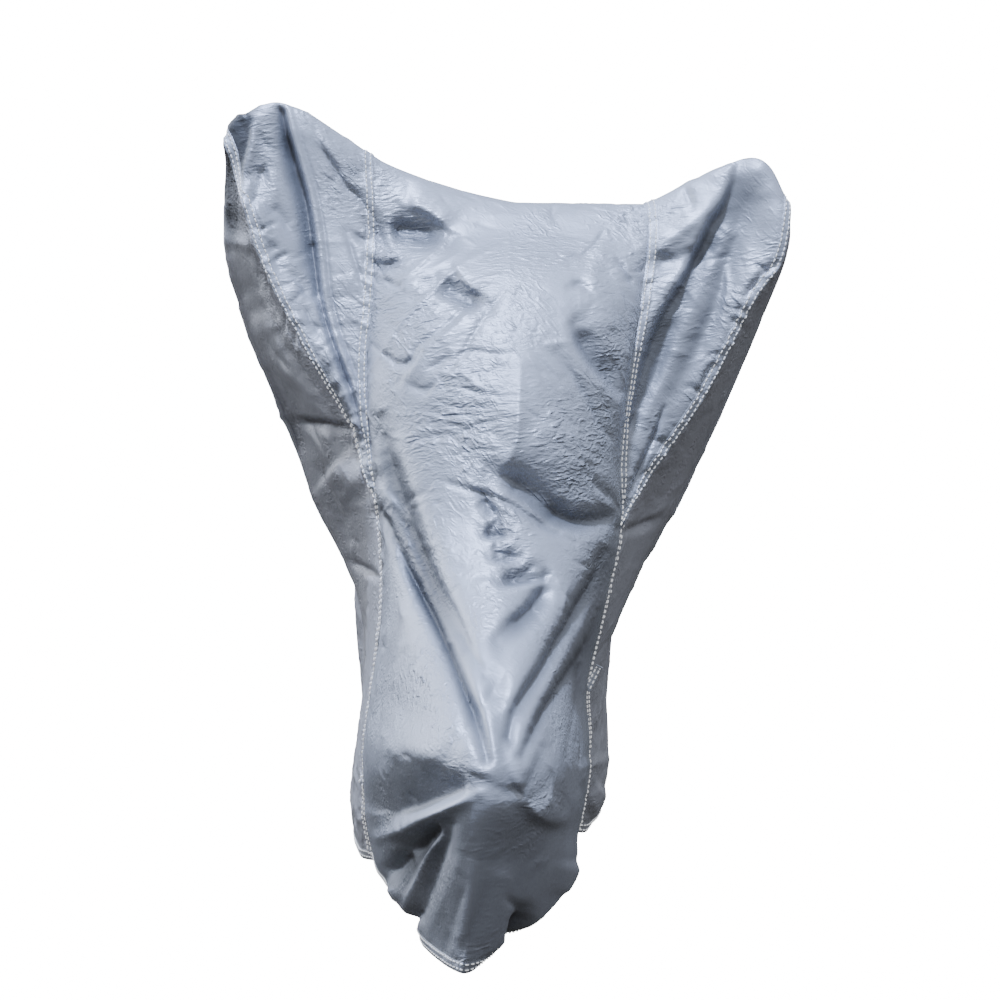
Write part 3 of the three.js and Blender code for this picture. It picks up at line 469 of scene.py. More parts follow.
class CoverSizes(bpy.types.PropertyGroup):
    """Sewing sizes of the cover."""

    seam_lift: bpy.props.FloatProperty(
        name="Seam lift", description="How far a felled seam stands proud", default=0.0012, unit="LENGTH")
    hem_width: bpy.props.FloatProperty(
        name="Hem width", description="Width of the turned hem", default=0.016, unit="LENGTH")
    stitch_length: bpy.props.FloatProperty(
        name="Stitch length", description="Visible length of one stitch", default=0.0062, unit="LENGTH")
    stitch_gap: bpy.props.FloatProperty(
        name="Stitch gap", description="Gap between two stitches", default=0.0022, unit="LENGTH")
    thread_width: bpy.props.FloatProperty(
        name="Thread width", description="Thickness of the sewing thread, coarse enough to show",
        default=0.0018, unit="LENGTH")
    row_inset: bpy.props.FloatProperty(
        name="Row inset", description="First stitch row from the seam line", default=0.0043, unit="LENGTH")
    row_spacing: bpy.props.FloatProperty(
        name="Row spacing", description="Distance between the two stitch rows", default=0.0090,
        unit="LENGTH")


class CoverColours(bpy.types.PropertyGroup):
    """Colours of cloth, thread, webbing and floor."""

    silver: bpy.props.FloatVectorProperty(
        name="Silver cloth", description="Coated face of the centre and the gussets",
        default=linear("#bbbfc8"), subtype="COLOR")
    # the side panels' cloth is a copy of the silver cloth, coloured for their shade: painted shade
    shaded: bpy.props.FloatVectorProperty(
        name="Side cloth", description="Coated face of the side panels",
        default=linear("#c0c0c4"), subtype="COLOR")
    thread: bpy.props.FloatVectorProperty(
        name="Thread", description="Topstitching", default=linear("#fbfcfd"), subtype="COLOR")
    webbing: bpy.props.FloatVectorProperty(
        name="Webbing", description="Strap loop", default=linear("#d9dce3"), subtype="COLOR")
    floor: bpy.props.FloatVectorProperty(
        name="Floor", description="Studio floor", default=linear("#f4f4f4"), subtype="COLOR")


# Curves and grids


def in_frame(points):
    """Metres in the part's frame from mm above the ground."""
    return (np.asarray(points, float) - CLAMP) / 1000


def spline(knots, values, at):
    """Cubic curve through the values at the knots, with slopes taken across each knot's neighbours."""
    knots, at = np.asarray(knots, float), np.asarray(at, float)
    values = np.asarray(values, float)
    shape = values.shape[1:]
    values = values.reshape(len(knots), -1)
    order = np.arange(len(knots))
    before, after = np.maximum(order - 1, 0), np.minimum(order + 1, len(knots) - 1)
    slopes = (values[after] - values[before]) / (knots[after] - knots[before])[:, None]
    i = np.clip(np.searchsorted(knots, at) - 1, 0, len(knots) - 2)
    span = (knots[i + 1] - knots[i])[:, None]
    u = (at - knots[i])[:, None] / span
    made = (values[i] * (1 + 2 * u) * (1 - u) ** 2 + slopes[i] * span * u * (1 - u) ** 2
            + values[i + 1] * u * u * (3 - 2 * u) + slopes[i + 1] * span * u * u * (u - 1))
    return made.reshape((len(at),) + shape)


def run_along(points, axis):
    """Distance along one axis of a line or grid of points, from 0 at its start."""
    steps = np.linalg.norm(np.diff(points, axis=axis), axis=-1)
    return np.insert(np.cumsum(steps, axis=axis), 0, 0, axis=axis)


def between(at, known, vectors):
    """Vectors at places along a line, between those that are known in rising order."""
    return np.stack([np.interp(at, known, vectors[:, k]) for k in range(3)], axis=1)


MIDS, LEFTS, RIGHTS = (in_frame([row[k] for row in SECTIONS]) for k in (1, 2, 3))
KNOTS = run_along(MIDS, 0)
SEAMS = {"left": LEFTS, "right": RIGHTS}


def places(first, last):
    """Places along the cover between two sections, on the fine grid."""
    found = [KNOTS[first:first + 1]]
    for i in range(first, last):
        cells = SECTIONS[i][6] * FINE.get(NAMES[i], REAR_FINE)
        found.append(np.linspace(KNOTS[i], KNOTS[i + 1], cells + 1)[1:])
    return np.concatenate(found)


def row_of(name):
    """Row of the centre panel's grid at a section."""
    return len(places(0, NAMES.index(name))) - 1


REAR_CELLS = len(places(TAIL, LAST)) - 1


def long_seam(side, at):
    return spline(KNOTS, SEAMS[side], at)


def centre_grid():
    """Rows from the front hem to the rear hem, each a superellipse half on either side of the middle."""
    at = places(0, LAST)
    mid = spline(KNOTS, MIDS, at)[:, None, :]
    full = spline(KNOTS, [row[4:6] for row in SECTIONS], at)
    turn = np.linspace(0, math.pi / 2, HALF_COLUMNS + 1)[None, :]
    halves = []
    for k, side in enumerate(("left", "right")):
        seam = long_seam(side, at)[:, None, :]
        n = full[:, k:k + 1]
        reach = (np.sin(turn) ** n + np.cos(turn) ** n) ** (-1 / n)
        across, drop = (reach * np.sin(turn))[..., None], (1 - reach * np.cos(turn))[..., None]
        halves.append(mid + (seam - mid) * np.concatenate([across, drop, drop], axis=2))
    return np.concatenate([halves[0][:, :0:-1], halves[1]], axis=1)


def gusset_curve(side, column, at):
    """Crest or outer seam of a gusset, which runs to a point on the long seam at both ends."""
    rows = GUSSETS[side]
    ends = long_seam(side, KNOTS[[APEX, TANK]])
    knots = KNOTS[[APEX] + [NAMES.index(row[0]) for row in rows] + [TANK]]
    return spline(knots, np.vstack([ends[:1], in_frame([row[column] for row in rows]), ends[1:]]), at)


def gusset_grid(side):
    at = places(APEX, TANK)
    lines = np.stack([long_seam(side, at), gusset_curve(side, 1, at), gusset_curve(side, 2, at)])
    across = spline([0, 0.5, 1], lines, np.linspace(0, 1, GUSSET_COLUMNS + 1))
    return across.transpose(1, 0, 2)


def side_grid(side):
    """Rows from the upper seam down to the hem, columns from the front seam to the rear seam."""
    at = places(APEX, TAIL)
    is_gusset = at <= KNOTS[TANK]
    front_at = places(0, APEX)[::-1]
    depth = np.linspace(0, 1, len(front_at))
    rear_at = np.interp(depth * REAR_CELLS, np.arange(REAR_CELLS + 1), places(TAIL, LAST))
    rows = SIDES[side]
    falls = []
    for row in rows:
        i = NAMES.index(row[0])
        here = KNOTS[i:i + 1]
        start = gusset_curve(side, 2, here) if i < TANK else long_seam(side, here)
        falls.append(spline(FALL, np.vstack([start, in_frame(row[1:])]), depth))
    knots = KNOTS[[APEX] + [NAMES.index(row[0]) for row in rows] + [TAIL]]
    columns = np.stack([long_seam(side, front_at)] + falls + [long_seam(side, rear_at)])
    grid = spline(knots, columns, at).transpose(1, 0, 2)
    grid[:, 0], grid[:, -1] = columns[0], columns[-1]
    grid[0] = np.where(is_gusset[:, None], gusset_curve(side, 2, at), long_seam(side, at))
    return grid, front_at, rear_at


def unit(vectors):
    return vectors / np.maximum(np.linalg.norm(vectors, axis=-1, keepdims=True), 1e-12)


POINTED = 1e-4  # metres below which an end row counts as a point


def grid_normals(grid, turn):
    """Outward normals of a grid; a pointed end row takes those of the row beside it."""
    normals = unit(np.cross(np.gradient(grid, axis=0), np.gradient(grid, axis=1)) * turn)
    for end, beside in ((0, 2), (-1, -3)):
        if np.linalg.norm(grid[end, 0] - grid[end, -1]) < POINTED:
            normals[end] = normals[beside]
            normals[(end + beside) // 2] = normals[beside]
    return normals


def smoothstep(value, low, high):
    t = np.clip((value - low) / (high - low), 0, 1)
    return t * t * (3 - 2 * t)


# Folds


def picture_place(points):
    """Where the camera sees points, in picture units."""
    away = points - in_frame(EYE)
    depth = away[..., 1] * math.cos(PITCH) - away[..., 2] * math.sin(PITCH)
    rise = away[..., 1] * math.sin(PITCH) + away[..., 2] * math.cos(PITCH)
    scale = FOCAL * PICTURE / depth
    return PICTURE / 2 + away[..., 0] * scale, PICTURE / 2 - rise * scale


PATH_STEPS = 6  # stretches into which each part of a path is cut
FOLD_MARGIN = 3  # widths from its path past which a fold is left out
CRISP_REACH = 0.62  # reach of a crisp fold over that of a soft one
END_HEIGHT, TAPER = 0.4, 0.3  # share of a fold's height at its ends, and of its length that tapers
PLAIN_CRISP = 0.1  # how crisp a fold is when its row does not say


def near_path(path, x, y):
    """Signed distance from a path, positive on its right as drawn top down, share along it, and how
    squarely the place lies beside it (1) rather than past one of its ends (0)."""
    knots = np.arange(len(path))
    line = spline(knots, path, np.linspace(0, len(path) - 1, PATH_STEPS * (len(path) - 1) + 1))
    best = np.full(x.shape, np.inf)
    share, beside = np.zeros(x.shape), np.zeros(x.shape)
    for i in range(len(line) - 1):
        (ax, ay), (bx, by) = line[i], line[i + 1]
        dx, dy = bx - ax, by - ay
        along = np.clip(((x - ax) * dx + (y - ay) * dy) / (dx * dx + dy * dy), 0, 1)
        rx, ry = x - ax - along * dx, y - ay - along * dy
        gap, side = np.hypot(rx, ry), dy * rx - dx * ry
        far = gap * np.where(side < 0, -1, 1)
        closer = np.abs(far) < np.abs(best)
        best = np.where(closer, far, best)
        share = np.where(closer, (i + along) / (len(line) - 1), share)
        beside = np.where(closer, np.abs(side) / (math.hypot(dx, dy) * np.maximum(gap, 1e-9)), beside)
    return best, share, beside


def fold_rise(rows, x, y):
    """Sum of soft or crisp rises and troughs, in metres."""
    total = np.zeros(x.shape)
    for _, height, left, right, crisp, path in rows:
        path = np.asarray(path, float)
        margin = FOLD_MARGIN * max(left, right)
        low, high = path.min(axis=0) - margin, path.max(axis=0) + margin
        near = (x > low[0]) & (x < high[0]) & (y > low[1]) & (y < high[1])
        if not near.any():
            continue
        far, share, beside = near_path(path, x[near], y[near])
        narrow = min(left, right)
        wide = narrow + (np.where(far < 0, left, right) - narrow) * beside
        soft = np.exp(-((far / wide) ** 2))
        sharp = np.exp(-np.abs(far) / (CRISP_REACH * wide))
        full = smoothstep(share, 0, TAPER)
        taper = END_HEIGHT + (1 - END_HEIGHT) * full * (1 - smoothstep(share, 1 - TAPER, 1))
        total[near] += height / 1000 * taper * (soft + (sharp - soft) * crisp)
    return total


def even(rows):
    """Fold rows of one width in the form of the front's."""
    return [(name, height, width, width, PLAIN_CRISP, path) for name, height, width, path in rows]


# Where folds fade in or out: by how far the cloth faces forward, sideways, back or up, and by metres
# behind the handlebar clamp
FRONT_FACING, FRONT_END = (-0.20, 0.10), (0.12, 0.3)
SIDE_FACING, BACK_FACING = (0.5, 0.8), (0.3, 0.6)
TOP_FACING, TOP_START = (0.45, 0.75), (0.05, 0.2)
CREASED = 0.036  # depth in metres at which a crease's painted shade is at its darkest


def in_front(points, normals, facing, end):
    """Share from 0 to 1 by which cloth belongs to the front."""
    return smoothstep(-normals[..., 1], *facing) * (1 - smoothstep(points[..., 1], *end))


def named_folds(points, normals):
    """Shift by every drawn fold of the unfolded cover: those of the front rise towards the eye, the
    others along the normals."""
    ground = points * 1000 + CLAMP
    seen = picture_place(points)
    front = in_front(points, normals, FRONT_FACING, FRONT_END)
    side = smoothstep(np.abs(normals[..., 0]), *SIDE_FACING) * (1 - front)
    back = smoothstep(normals[..., 1], *BACK_FACING)
    top = smoothstep(normals[..., 2], *TOP_FACING) * smoothstep(points[..., 1], *TOP_START) * (1 - back)
    rise = np.zeros(points.shape[:2])
    for weight, rows, place in (
            (front, BAG_FOLDS, seen),
            (side, even(SIDE_FOLDS), (ground[..., 1], ground[..., 2])),
            (back, even(BACK_FOLDS), (ground[..., 0], ground[..., 2])),
            (top, even(TOP_FOLDS), (ground[..., 0], ground[..., 1]))):
        shown = weight > 0
        rise[shown] += weight[shown] * fold_rise(rows, place[0][shown], place[1][shown])
    towards_eye = unit(in_frame(EYE) - points)
    forward = front * fold_rise(FRONT_FOLDS, *seen)
    return normals * rise[..., None] + towards_eye * forward[..., None]


def painted_crease_shade(points, normals):
    """Strength of the painted shade in the creases of the front: how deep each place lies in them, from 0
    to 1 at CREASED and deeper, with the painted-shade places added.
    """
    front = in_front(points, normals, FRONT_FACING, FRONT_END)
    depth = -front * fold_rise(FRONT_FOLDS + BAG_FOLDS + PAINTED_SHADE_PLACES, *picture_place(points))
    return np.clip(depth / CREASED, 0, 1)


def border_distance(grid):
    """Distance of each grid point from the nearest edge of its panel, along rows or columns."""
    down, along = run_along(grid, 0), run_along(grid, 1)
    return np.minimum.reduce([down, down[-1:] - down, along, along[:, -1:] - along])


# Small creases: share of the panel's count, length, half width and depth in metres
CRUMPLES = [(0.05, 0.09, 0.010, 0.0010), (0.40, 0.040, 0.005, 0.0010), (0.55, 0.022, 0.0040, 0.0009)]
CLUSTER, CLUSTER_SPREAD = 14, 16  # creases in one cluster, and the grid cells by which they scatter
CRUMPLE_TURN, CRUMPLE_BEND = 0.6, 6  # scatter of direction in radians, and of the bend per metre
CRUMPLE_LONGER, CRUMPLE_WIDER = (0.5, 1.6), (0.6, 1.5)  # range of length and of width over the stated
LEAST_CELLS, MOST_CELLS = 0.6, 60  # grid cells that one crease is wide at least and reaches at most
LEAST_STEP = 5e-4  # least size of a grid cell in metres
CRUMPLE_MARGIN = 1.2  # lengths of a crease within which it is worked out
CRUMPLE_THROUGH = 0.03  # metres along the normal past which a crease leaves other cloth alone


def crumples(grid, normals, rng, count, length, width, depth):
    """Short bent creases in loose clusters over a panel."""
    rows, columns = grid.shape[:2]
    rise = np.zeros((rows, columns))
    middles = rng.uniform((0, 0), (rows, columns), (max(count // CLUSTER, 1), 2))
    for k in range(count):
        spot = middles[k % len(middles)] + rng.normal(0, CLUSTER_SPREAD, 2)
        i, j = int(np.clip(spot[0], 1, rows - 2)), int(np.clip(spot[1], 1, columns - 2))
        here, facing = grid[i, j], normals[i, j]
        angle, bend = rng.normal(math.pi / 2, CRUMPLE_TURN), rng.normal(0, CRUMPLE_BEND)
        long = length * rng.uniform(*CRUMPLE_LONGER)
        steps = np.linalg.norm(grid[i + 1, j] - here), np.linalg.norm(grid[i, j + 1] - here)
        wide = max(width * rng.uniform(*CRUMPLE_WIDER), LEAST_CELLS * max(steps))
        high = depth * rng.normal(0, 1)
        reach = CRUMPLE_MARGIN * long
        down, over = (min(int(reach / max(step, LEAST_STEP)) + 1, MOST_CELLS) for step in steps)
        window = slice(max(i - down, 0), i + down + 1), slice(max(j - over, 0), j + over + 1)
        away = grid[window] - here
        lie = unit(grid[i + 1, j] - grid[i - 1, j])
        first = math.cos(angle) * lie + math.sin(angle) * np.cross(facing, lie)
        second = np.cross(facing, first)
        a, b, c = away @ first, away @ second, away @ facing
        b = b - bend * a * a
        fade = np.clip(1 - (a / long) ** 2, 0, 1) ** 2 * np.exp(-((c / CRUMPLE_THROUGH) ** 2))
        rise[window] += high * fade * np.exp(-np.abs(b) / wide)
    return rise


HEM_ROLL, HEM_ROLL_DEPTH = 0.030, 0.032  # height of cloth that turns under at the front hem, and how far
HEM_SHUT_LEFT, HEM_SHUT_RIGHT = (400, 424), (462, 522)  # picture units over which the open hem closes
HEM_SIDES = (-0.45, -0.2)  # metres behind the clamp over which the roll fades out


def hem_roll(grid):
    """How far the front hem is drawn inward."""
    x, _ = picture_place(grid[0])
    shut = np.maximum(1 - smoothstep(x, *HEM_SHUT_LEFT), smoothstep(x, *HEM_SHUT_RIGHT))
    shut = shut * (1 - smoothstep(grid[0, :, 1], *HEM_SIDES))
    return HEM_ROLL_DEPTH * shut * np.clip(1 - run_along(grid, 0) / HEM_ROLL, 0, 1) ** 2


def patches(shape, rng, cells):
    """Smooth uneven field from 0 to 1 over a panel, from a coarse table of random levels."""
    coarse = rng.uniform(0, 1, cells)
    across = spline(np.linspace(0, 1, cells[1]), coarse.T, np.linspace(0, 1, shape[1])).T
    return np.clip(spline(np.linspace(0, 1, cells[0]), across, np.linspace(0, 1, shape[0])), 0, 1)


CRINKLE_LEVEL, CRINKLE_FALL = 0.18, 1.5  # strength everywhere, and how steeply the named places fade
CRINKLE_FACING, CRINKLE_END = (0.0, 0.2), (0.05, 0.2)  # where the named places fade out, as for folds
# Tables of random levels for the patches and the seams, and the levels between which crinkles come in
PATCH_CELLS, PATCH_EDGE = (26, 12), (0.35, 0.85)
SEAM_CELLS, SEAM_EDGE = (60, 16), (0.2, 0.7)
SEAM_LEVEL, SEAM_REACH = 0.9, 0.022  # strength at a seam, and metres over which it fades


def crinkle_strength(grid, normals, rng, patchy):
    """How crinkled the coating is: in the named places of the front, along seams, and in loose patches."""
    x, y = picture_place(grid)
    front = in_front(grid, normals, CRINKLE_FACING, CRINKLE_END)
    strength = CRINKLE_LEVEL + patchy * smoothstep(patches(x.shape, rng, PATCH_CELLS), *PATCH_EDGE)
    for mx, my, rx, ry, level in CRINKLED:
        away = ((x - mx) / rx) ** 2 + ((y - my) / ry) ** 2
        strength += front * level * np.exp(-away * CRINKLE_FALL)
    seam = smoothstep(patches(x.shape, rng, SEAM_CELLS), *SEAM_EDGE)
    return strength + SEAM_LEVEL * seam * np.exp(-border_distance(grid) / SEAM_REACH)


def from_edge(field, edge):
    """A panel's field, turned so that the named edge is its first column."""
    turned = field.swapaxes(0, 1) if edge.endswith("row") else field
    return turned[:, ::-1] if edge.startswith("last") else turned


# Creases across the sewn edges: metres from one to the next, length, width, depth, and where one starts
PUCKER = {"pitch": 0.009, "length": 0.022, "width": 0.0034, "depth": 0.0017, "start": 0.005}
PUCKER_LONGER, PUCKER_SLANT = (0.4, 1.7), 0.5  # range of length over the stated, scatter of the slant
PUCKER_CELLS = 0.7  # grid cells that one pucker is wide at least
PUCKER_COLUMNS, PUCKER_REACH = 60, 0.06  # grid cells inward and metres along that one pucker may reach
# Edges of each panel that pucker
PUCKERED = {
    "centre": ("first column", "last column"),
    "left gusset": ("first column", "last column"), "right gusset": ("first column", "last column"),
    "left side": ("first row", "first column"), "right side": ("first row", "first column"),
}


def puckers(grid, rng, edges):
    """Short creases across the sewn edges of a panel, where the thread draws the cloth in."""
    rise = np.zeros(grid.shape[:2])
    for edge in edges:
        points, drawn = (from_edge(field, edge)[:, :PUCKER_COLUMNS] for field in (grid, rise))
        along, inward = run_along(points[:, 0], 0), run_along(points, 1)
        wide = np.maximum(PUCKER["width"], PUCKER_CELLS * np.gradient(along))[:, None]
        count = int(along[-1] / PUCKER["pitch"])
        middles = rng.uniform(0, along[-1], count)
        heights = rng.normal(0, PUCKER["depth"], count)
        lengths = PUCKER["length"] * rng.uniform(*PUCKER_LONGER, count)
        slants = rng.normal(0, PUCKER_SLANT, count)
        for middle, high, long, slant in zip(middles, heights, lengths, slants):
            near = np.abs(along - middle) < PUCKER_REACH
            inside = inward[near]
            beside = np.abs(along[near, None] - middle - slant * inside) / wide[near]
            swell = high * np.exp(-beside - (inside / long) ** 2)
            drawn[near] += swell * smoothstep(inside, 0, PUCKER["start"])
    return rise


# Draped cloth


# Sense in which the faces of each panel's grid turn
TURN = {"centre": -1, "left gusset": 1, "left side": -1, "right gusset": -1, "right side": 1}
# Strength of the crinkle patches, and number of small creases, of each panel
PATCHY = {"centre": 0.6, "left gusset": 0.45, "right gusset": 0.35, "left side": 0.6, "right side": 0.6}
CRUMPLE_COUNT = {
    "centre": 1700, "left gusset": 450, "right gusset": 300, "left side": 1100, "right side": 1100,
}
PUSH_END = (-0.02, 0.12)  # metres behind the clamp over which the pushes fade out
CRUMPLE_FREE = (0.004, 0.03)  # metres from a panel's edge over which small creases come in


def smooth_panels():
    """Grids of the five panels before their folds, and where each side panel's front and rear edges lie
    along the cover."""
    flat, edges_at = {"centre": centre_grid()}, {}
    for side in ("left", "right"):
        flat[side + " gusset"] = gusset_grid(side)
        grid, front_at, rear_at = side_grid(side)
        flat[side + " side"] = grid
        edges_at[side] = (front_at, rear_at)
    for grid in flat.values():
        x, y = picture_place(grid)
        grid[..., 1] -= fold_rise(PUSHES, x, y) * (1 - smoothstep(grid[..., 1], *PUSH_END))
    return flat, edges_at


def match_seams(normals, edges_at):
    """Give panels that meet along a seam the same normals there, so that folds leave it closed."""
    all_at, gusset_at, top_at = places(0, LAST), places(APEX, TANK), places(APEX, TAIL)
    beyond = top_at > KNOTS[TANK]
    for side, column in (("left", 0), ("right", -1)):
        front_at, rear_at = edges_at[side]
        centre, gusset, panel = normals["centre"], normals[side + " gusset"], normals[side + " side"]
        seam_at = np.concatenate([front_at[::-1][:-1], gusset_at, top_at[beyond][:-1], rear_at])
        outside = np.concatenate([panel[::-1, 0][:-1], gusset[:, 0], panel[0, beyond][:-1], panel[:, -1]])
        seam = unit(centre[:, column] + between(all_at, seam_at, outside))
        edge = unit(gusset[:, -1] + panel[0, :len(gusset_at)])
        edge[0], edge[-1] = between(gusset_at[[0, -1]], all_at, seam)
        centre[:, column] = seam
        gusset[:, 0] = between(gusset_at, all_at, seam)
        gusset[:, -1] = edge
        gusset[0], gusset[-1] = edge[0], edge[-1]
        panel[0, :len(gusset_at)] = edge
        panel[0, beyond] = between(top_at[beyond], all_at, seam)
        panel[:, 0] = between(front_at, all_at, seam)
        panel[:, -1] = between(rear_at, all_at, seam)


@functools.lru_cache(maxsize=1)
def draped_panels():
    """Final grids, normals, crinkle strengths and crease depths for the painted crease shade of the five
    panels.
    """
    rng, pucker_rng = np.random.default_rng(SEED), np.random.default_rng(SEED + 1)
    flat, edges_at = smooth_panels()
    normals = {name: grid_normals(grid, TURN[name]) for name, grid in flat.items()}
    match_seams(normals, edges_at)
    made = {}
    for name, grid in flat.items():
        here = normals[name]
        rise = np.zeros(grid.shape[:2])
        inner = smoothstep(border_distance(grid), *CRUMPLE_FREE)
        for share, length, width, depth in CRUMPLES:
            count = int(share * CRUMPLE_COUNT[name])
            rise += inner * crumples(grid, here, rng, count, length, width, depth)
        rise += puckers(grid, pucker_rng, PUCKERED[name])
        points = grid + named_folds(grid, here) + here * rise[..., None]
        if name == "centre":
            points -= here * hem_roll(grid)[..., None]
        crinkle = crinkle_strength(grid, here, rng, PATCHY[name])
        made[name] = (points, grid_normals(points, TURN[name]), crinkle, painted_crease_shade(grid, here))
    return made


# Meshes


def grid_faces(rows, columns, turn):
    first = np.arange(rows * columns).reshape(rows, columns)
    corners = [first[:-1, :-1], first[1:, :-1], first[1:, 1:], first[:-1, 1:]]
    if turn < 0:
        corners.reverse()
    return np.stack(corners, axis=-1).reshape(-1, 4)


PLAIN_CRINKLE = 0.6  # strength of the crinkles on pieces other than the panels
WELD, FINE_WELD = 2e-5, 1e-6  # metres within which points are joined


def new_piece(name, points, faces, material, slot, crinkle=PLAIN_CRINKLE, crease=0.0):
    """Mesh object of one piece, smooth shaded, riding on the part's one body."""
    mesh = bpy.data.meshes.new(name)
    mesh.from_pydata(points.reshape(-1, 3).tolist(), [], faces.tolist())
    mesh.polygons.foreach_set("use_smooth", np.ones(len(mesh.polygons), bool))
    # crease is the strength of the painted crease shade that the coated cloth reads
    for kind, values in (("crinkle", crinkle), ("crease", crease)):
        layer = mesh.attributes.new(kind, "FLOAT", "POINT")
        spread = np.broadcast_to(values, points.shape[:-1])
        layer.data.foreach_set("value", spread.astype(np.float32).ravel())
    mesh.materials.append(material)
    piece = bpy.data.objects.new(name, mesh)
    bpy.context.collection.objects.link(piece)
    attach(piece, "root")
    return piece


def weld(piece, distance=WELD):
    """Join the points of a pointed end and drop what has no area."""
    work = bmesh.new()
    work.from_mesh(piece.data)
    bmesh.ops.remove_doubles(work, verts=work.verts, dist=distance)
    bmesh.ops.dissolve_degenerate(work, edges=work.edges, dist=distance)
    work.to_mesh(piece.data)
    work.free()


EDGE_COLUMNS, EDGE_SHARE = 40, 0.45  # grid cells inward that a line may lie, and share of their width


def inset_line(grid, normals, edge, inset):
    """Line on a panel at a distance from one of its edges, with its normals."""
    points, facing = (from_edge(field, edge)[:, :EDGE_COLUMNS] for field in (grid, normals))
    if inset < 0:
        outward = unit(points[:, 0] - points[:, 2])
        return points[:, 0] - inset * outward, facing[:, 0]
    reach = run_along(points, 1)
    inset = np.minimum(inset, EDGE_SHARE * reach[:, -1])
    i = np.clip((reach < inset[:, None]).sum(axis=1) - 1, 0, points.shape[1] - 2)
    rows = np.arange(len(points))
    t = ((inset - reach[rows, i]) / np.maximum(reach[rows, i + 1] - reach[rows, i], 1e-9))[:, None]
    line = points[rows, i] * (1 - t) + points[rows, i + 1] * t
    return line, unit(facing[rows, i] * (1 - t) + facing[rows, i + 1] * t)


def strip(grid, normals, edge, profile, step, turn):
    """Points and faces of a band along a panel's edge, from (inset, lift) pairs."""
    lines = []
    count = None
    for inset, lift in profile:
        line, facing = inset_line(grid, normals, edge, inset)
        reach = run_along(line, 0)
        if count is None:
            count = max(int(reach[-1] / step), 2) + 1
        at = np.linspace(0, reach[-1], count)
        lines.append(between(at, reach, line) + unit(between(at, reach, facing)) * lift)
    points = np.stack(lines, axis=1)
    return points, grid_faces(*points.shape[:2], turn)


def joined(parts):
    """One points array and one faces array from several."""
    points, faces, start = [], [], 0
    for spots, corners in parts:
        spots = spots.reshape(-1, 3)
        points.append(spots)
        faces.append(corners + start)
        start += len(spots)
    return np.concatenate(points), np.concatenate(faces)


STITCH_SIDES = 5
STITCH_RISE = (-0.5, 0.35, 0.45, 0.35, -0.5)  # height of the thread along one stitch, in thread widths
STITCH_WIDTH = (0.55, 1.0, 1.0, 1.0, 0.55)  # thickness along it, in thread widths


def stitches(line, facing, sizes, lift):
    """Points and faces of a row of stitches along a line on the cloth."""
    reach = run_along(line, 0)
    pitch = sizes.stitch_length + sizes.stitch_gap
    starts = np.arange(pitch / 2, reach[-1] - pitch, pitch)
    along = np.linspace(0, sizes.stitch_length, len(STITCH_RISE))
    at = (starts[:, None] + along[None, :]).ravel()
    spots = between(at, reach, line).reshape(len(starts), -1, 3)
    out = unit(between(at, reach, facing)).reshape(len(starts), -1, 3)
    ahead = unit(np.gradient(spots, axis=1))
    beside = np.cross(ahead, out)
    width = sizes.thread_width
    middle = spots + out * (lift + width * np.asarray(STITCH_RISE))[None, :, None]
    turn = np.linspace(0, 2 * math.pi, STITCH_SIDES, endpoint=False)
    radius = width / 2 * np.asarray(STITCH_WIDTH)[None, :, None, None]
    ring = np.cos(turn)[:, None] * beside[:, :, None, :] + np.sin(turn)[:, None] * out[:, :, None, :]
    points = middle[:, :, None, :] + ring * radius
    rings = len(STITCH_RISE)
    corner = np.arange(rings * STITCH_SIDES).reshape(rings, STITCH_SIDES)
    after = np.roll(corner, -1, axis=1)
    sides = np.stack([corner[:-1], after[:-1], after[1:], corner[1:]], axis=-1).reshape(-1, 4)
    faces = (np.arange(len(starts)) * rings * STITCH_SIDES)[:, None, None] + sides[None]
    return points.reshape(-1, 3), faces.reshape(-1, 4)


# Materials


def add_node(tree, kind, inputs=None, **settings):
    """Add a shader node, set its properties, and fill or link its inputs."""
    made = tree.nodes.new(kind)
    for name, value in settings.items():
        setattr(made, name, value)
    for name, value in (inputs or {}).items():
        if isinstance(value, bpy.types.NodeSocket):
            tree.links.new(value, made.inputs[name])
        else:
            made.inputs[name].default_value = value
    return made


def new_material(name):
    material = bpy.data.materials.new(name)
    material.use_nodes = True
    material.node_tree.nodes.clear()
    return material, material.node_tree


CREASE_SHADE_TONE = 0.18  # share of the cloth's colour left in the deepest crease, where the painted shade is darkest
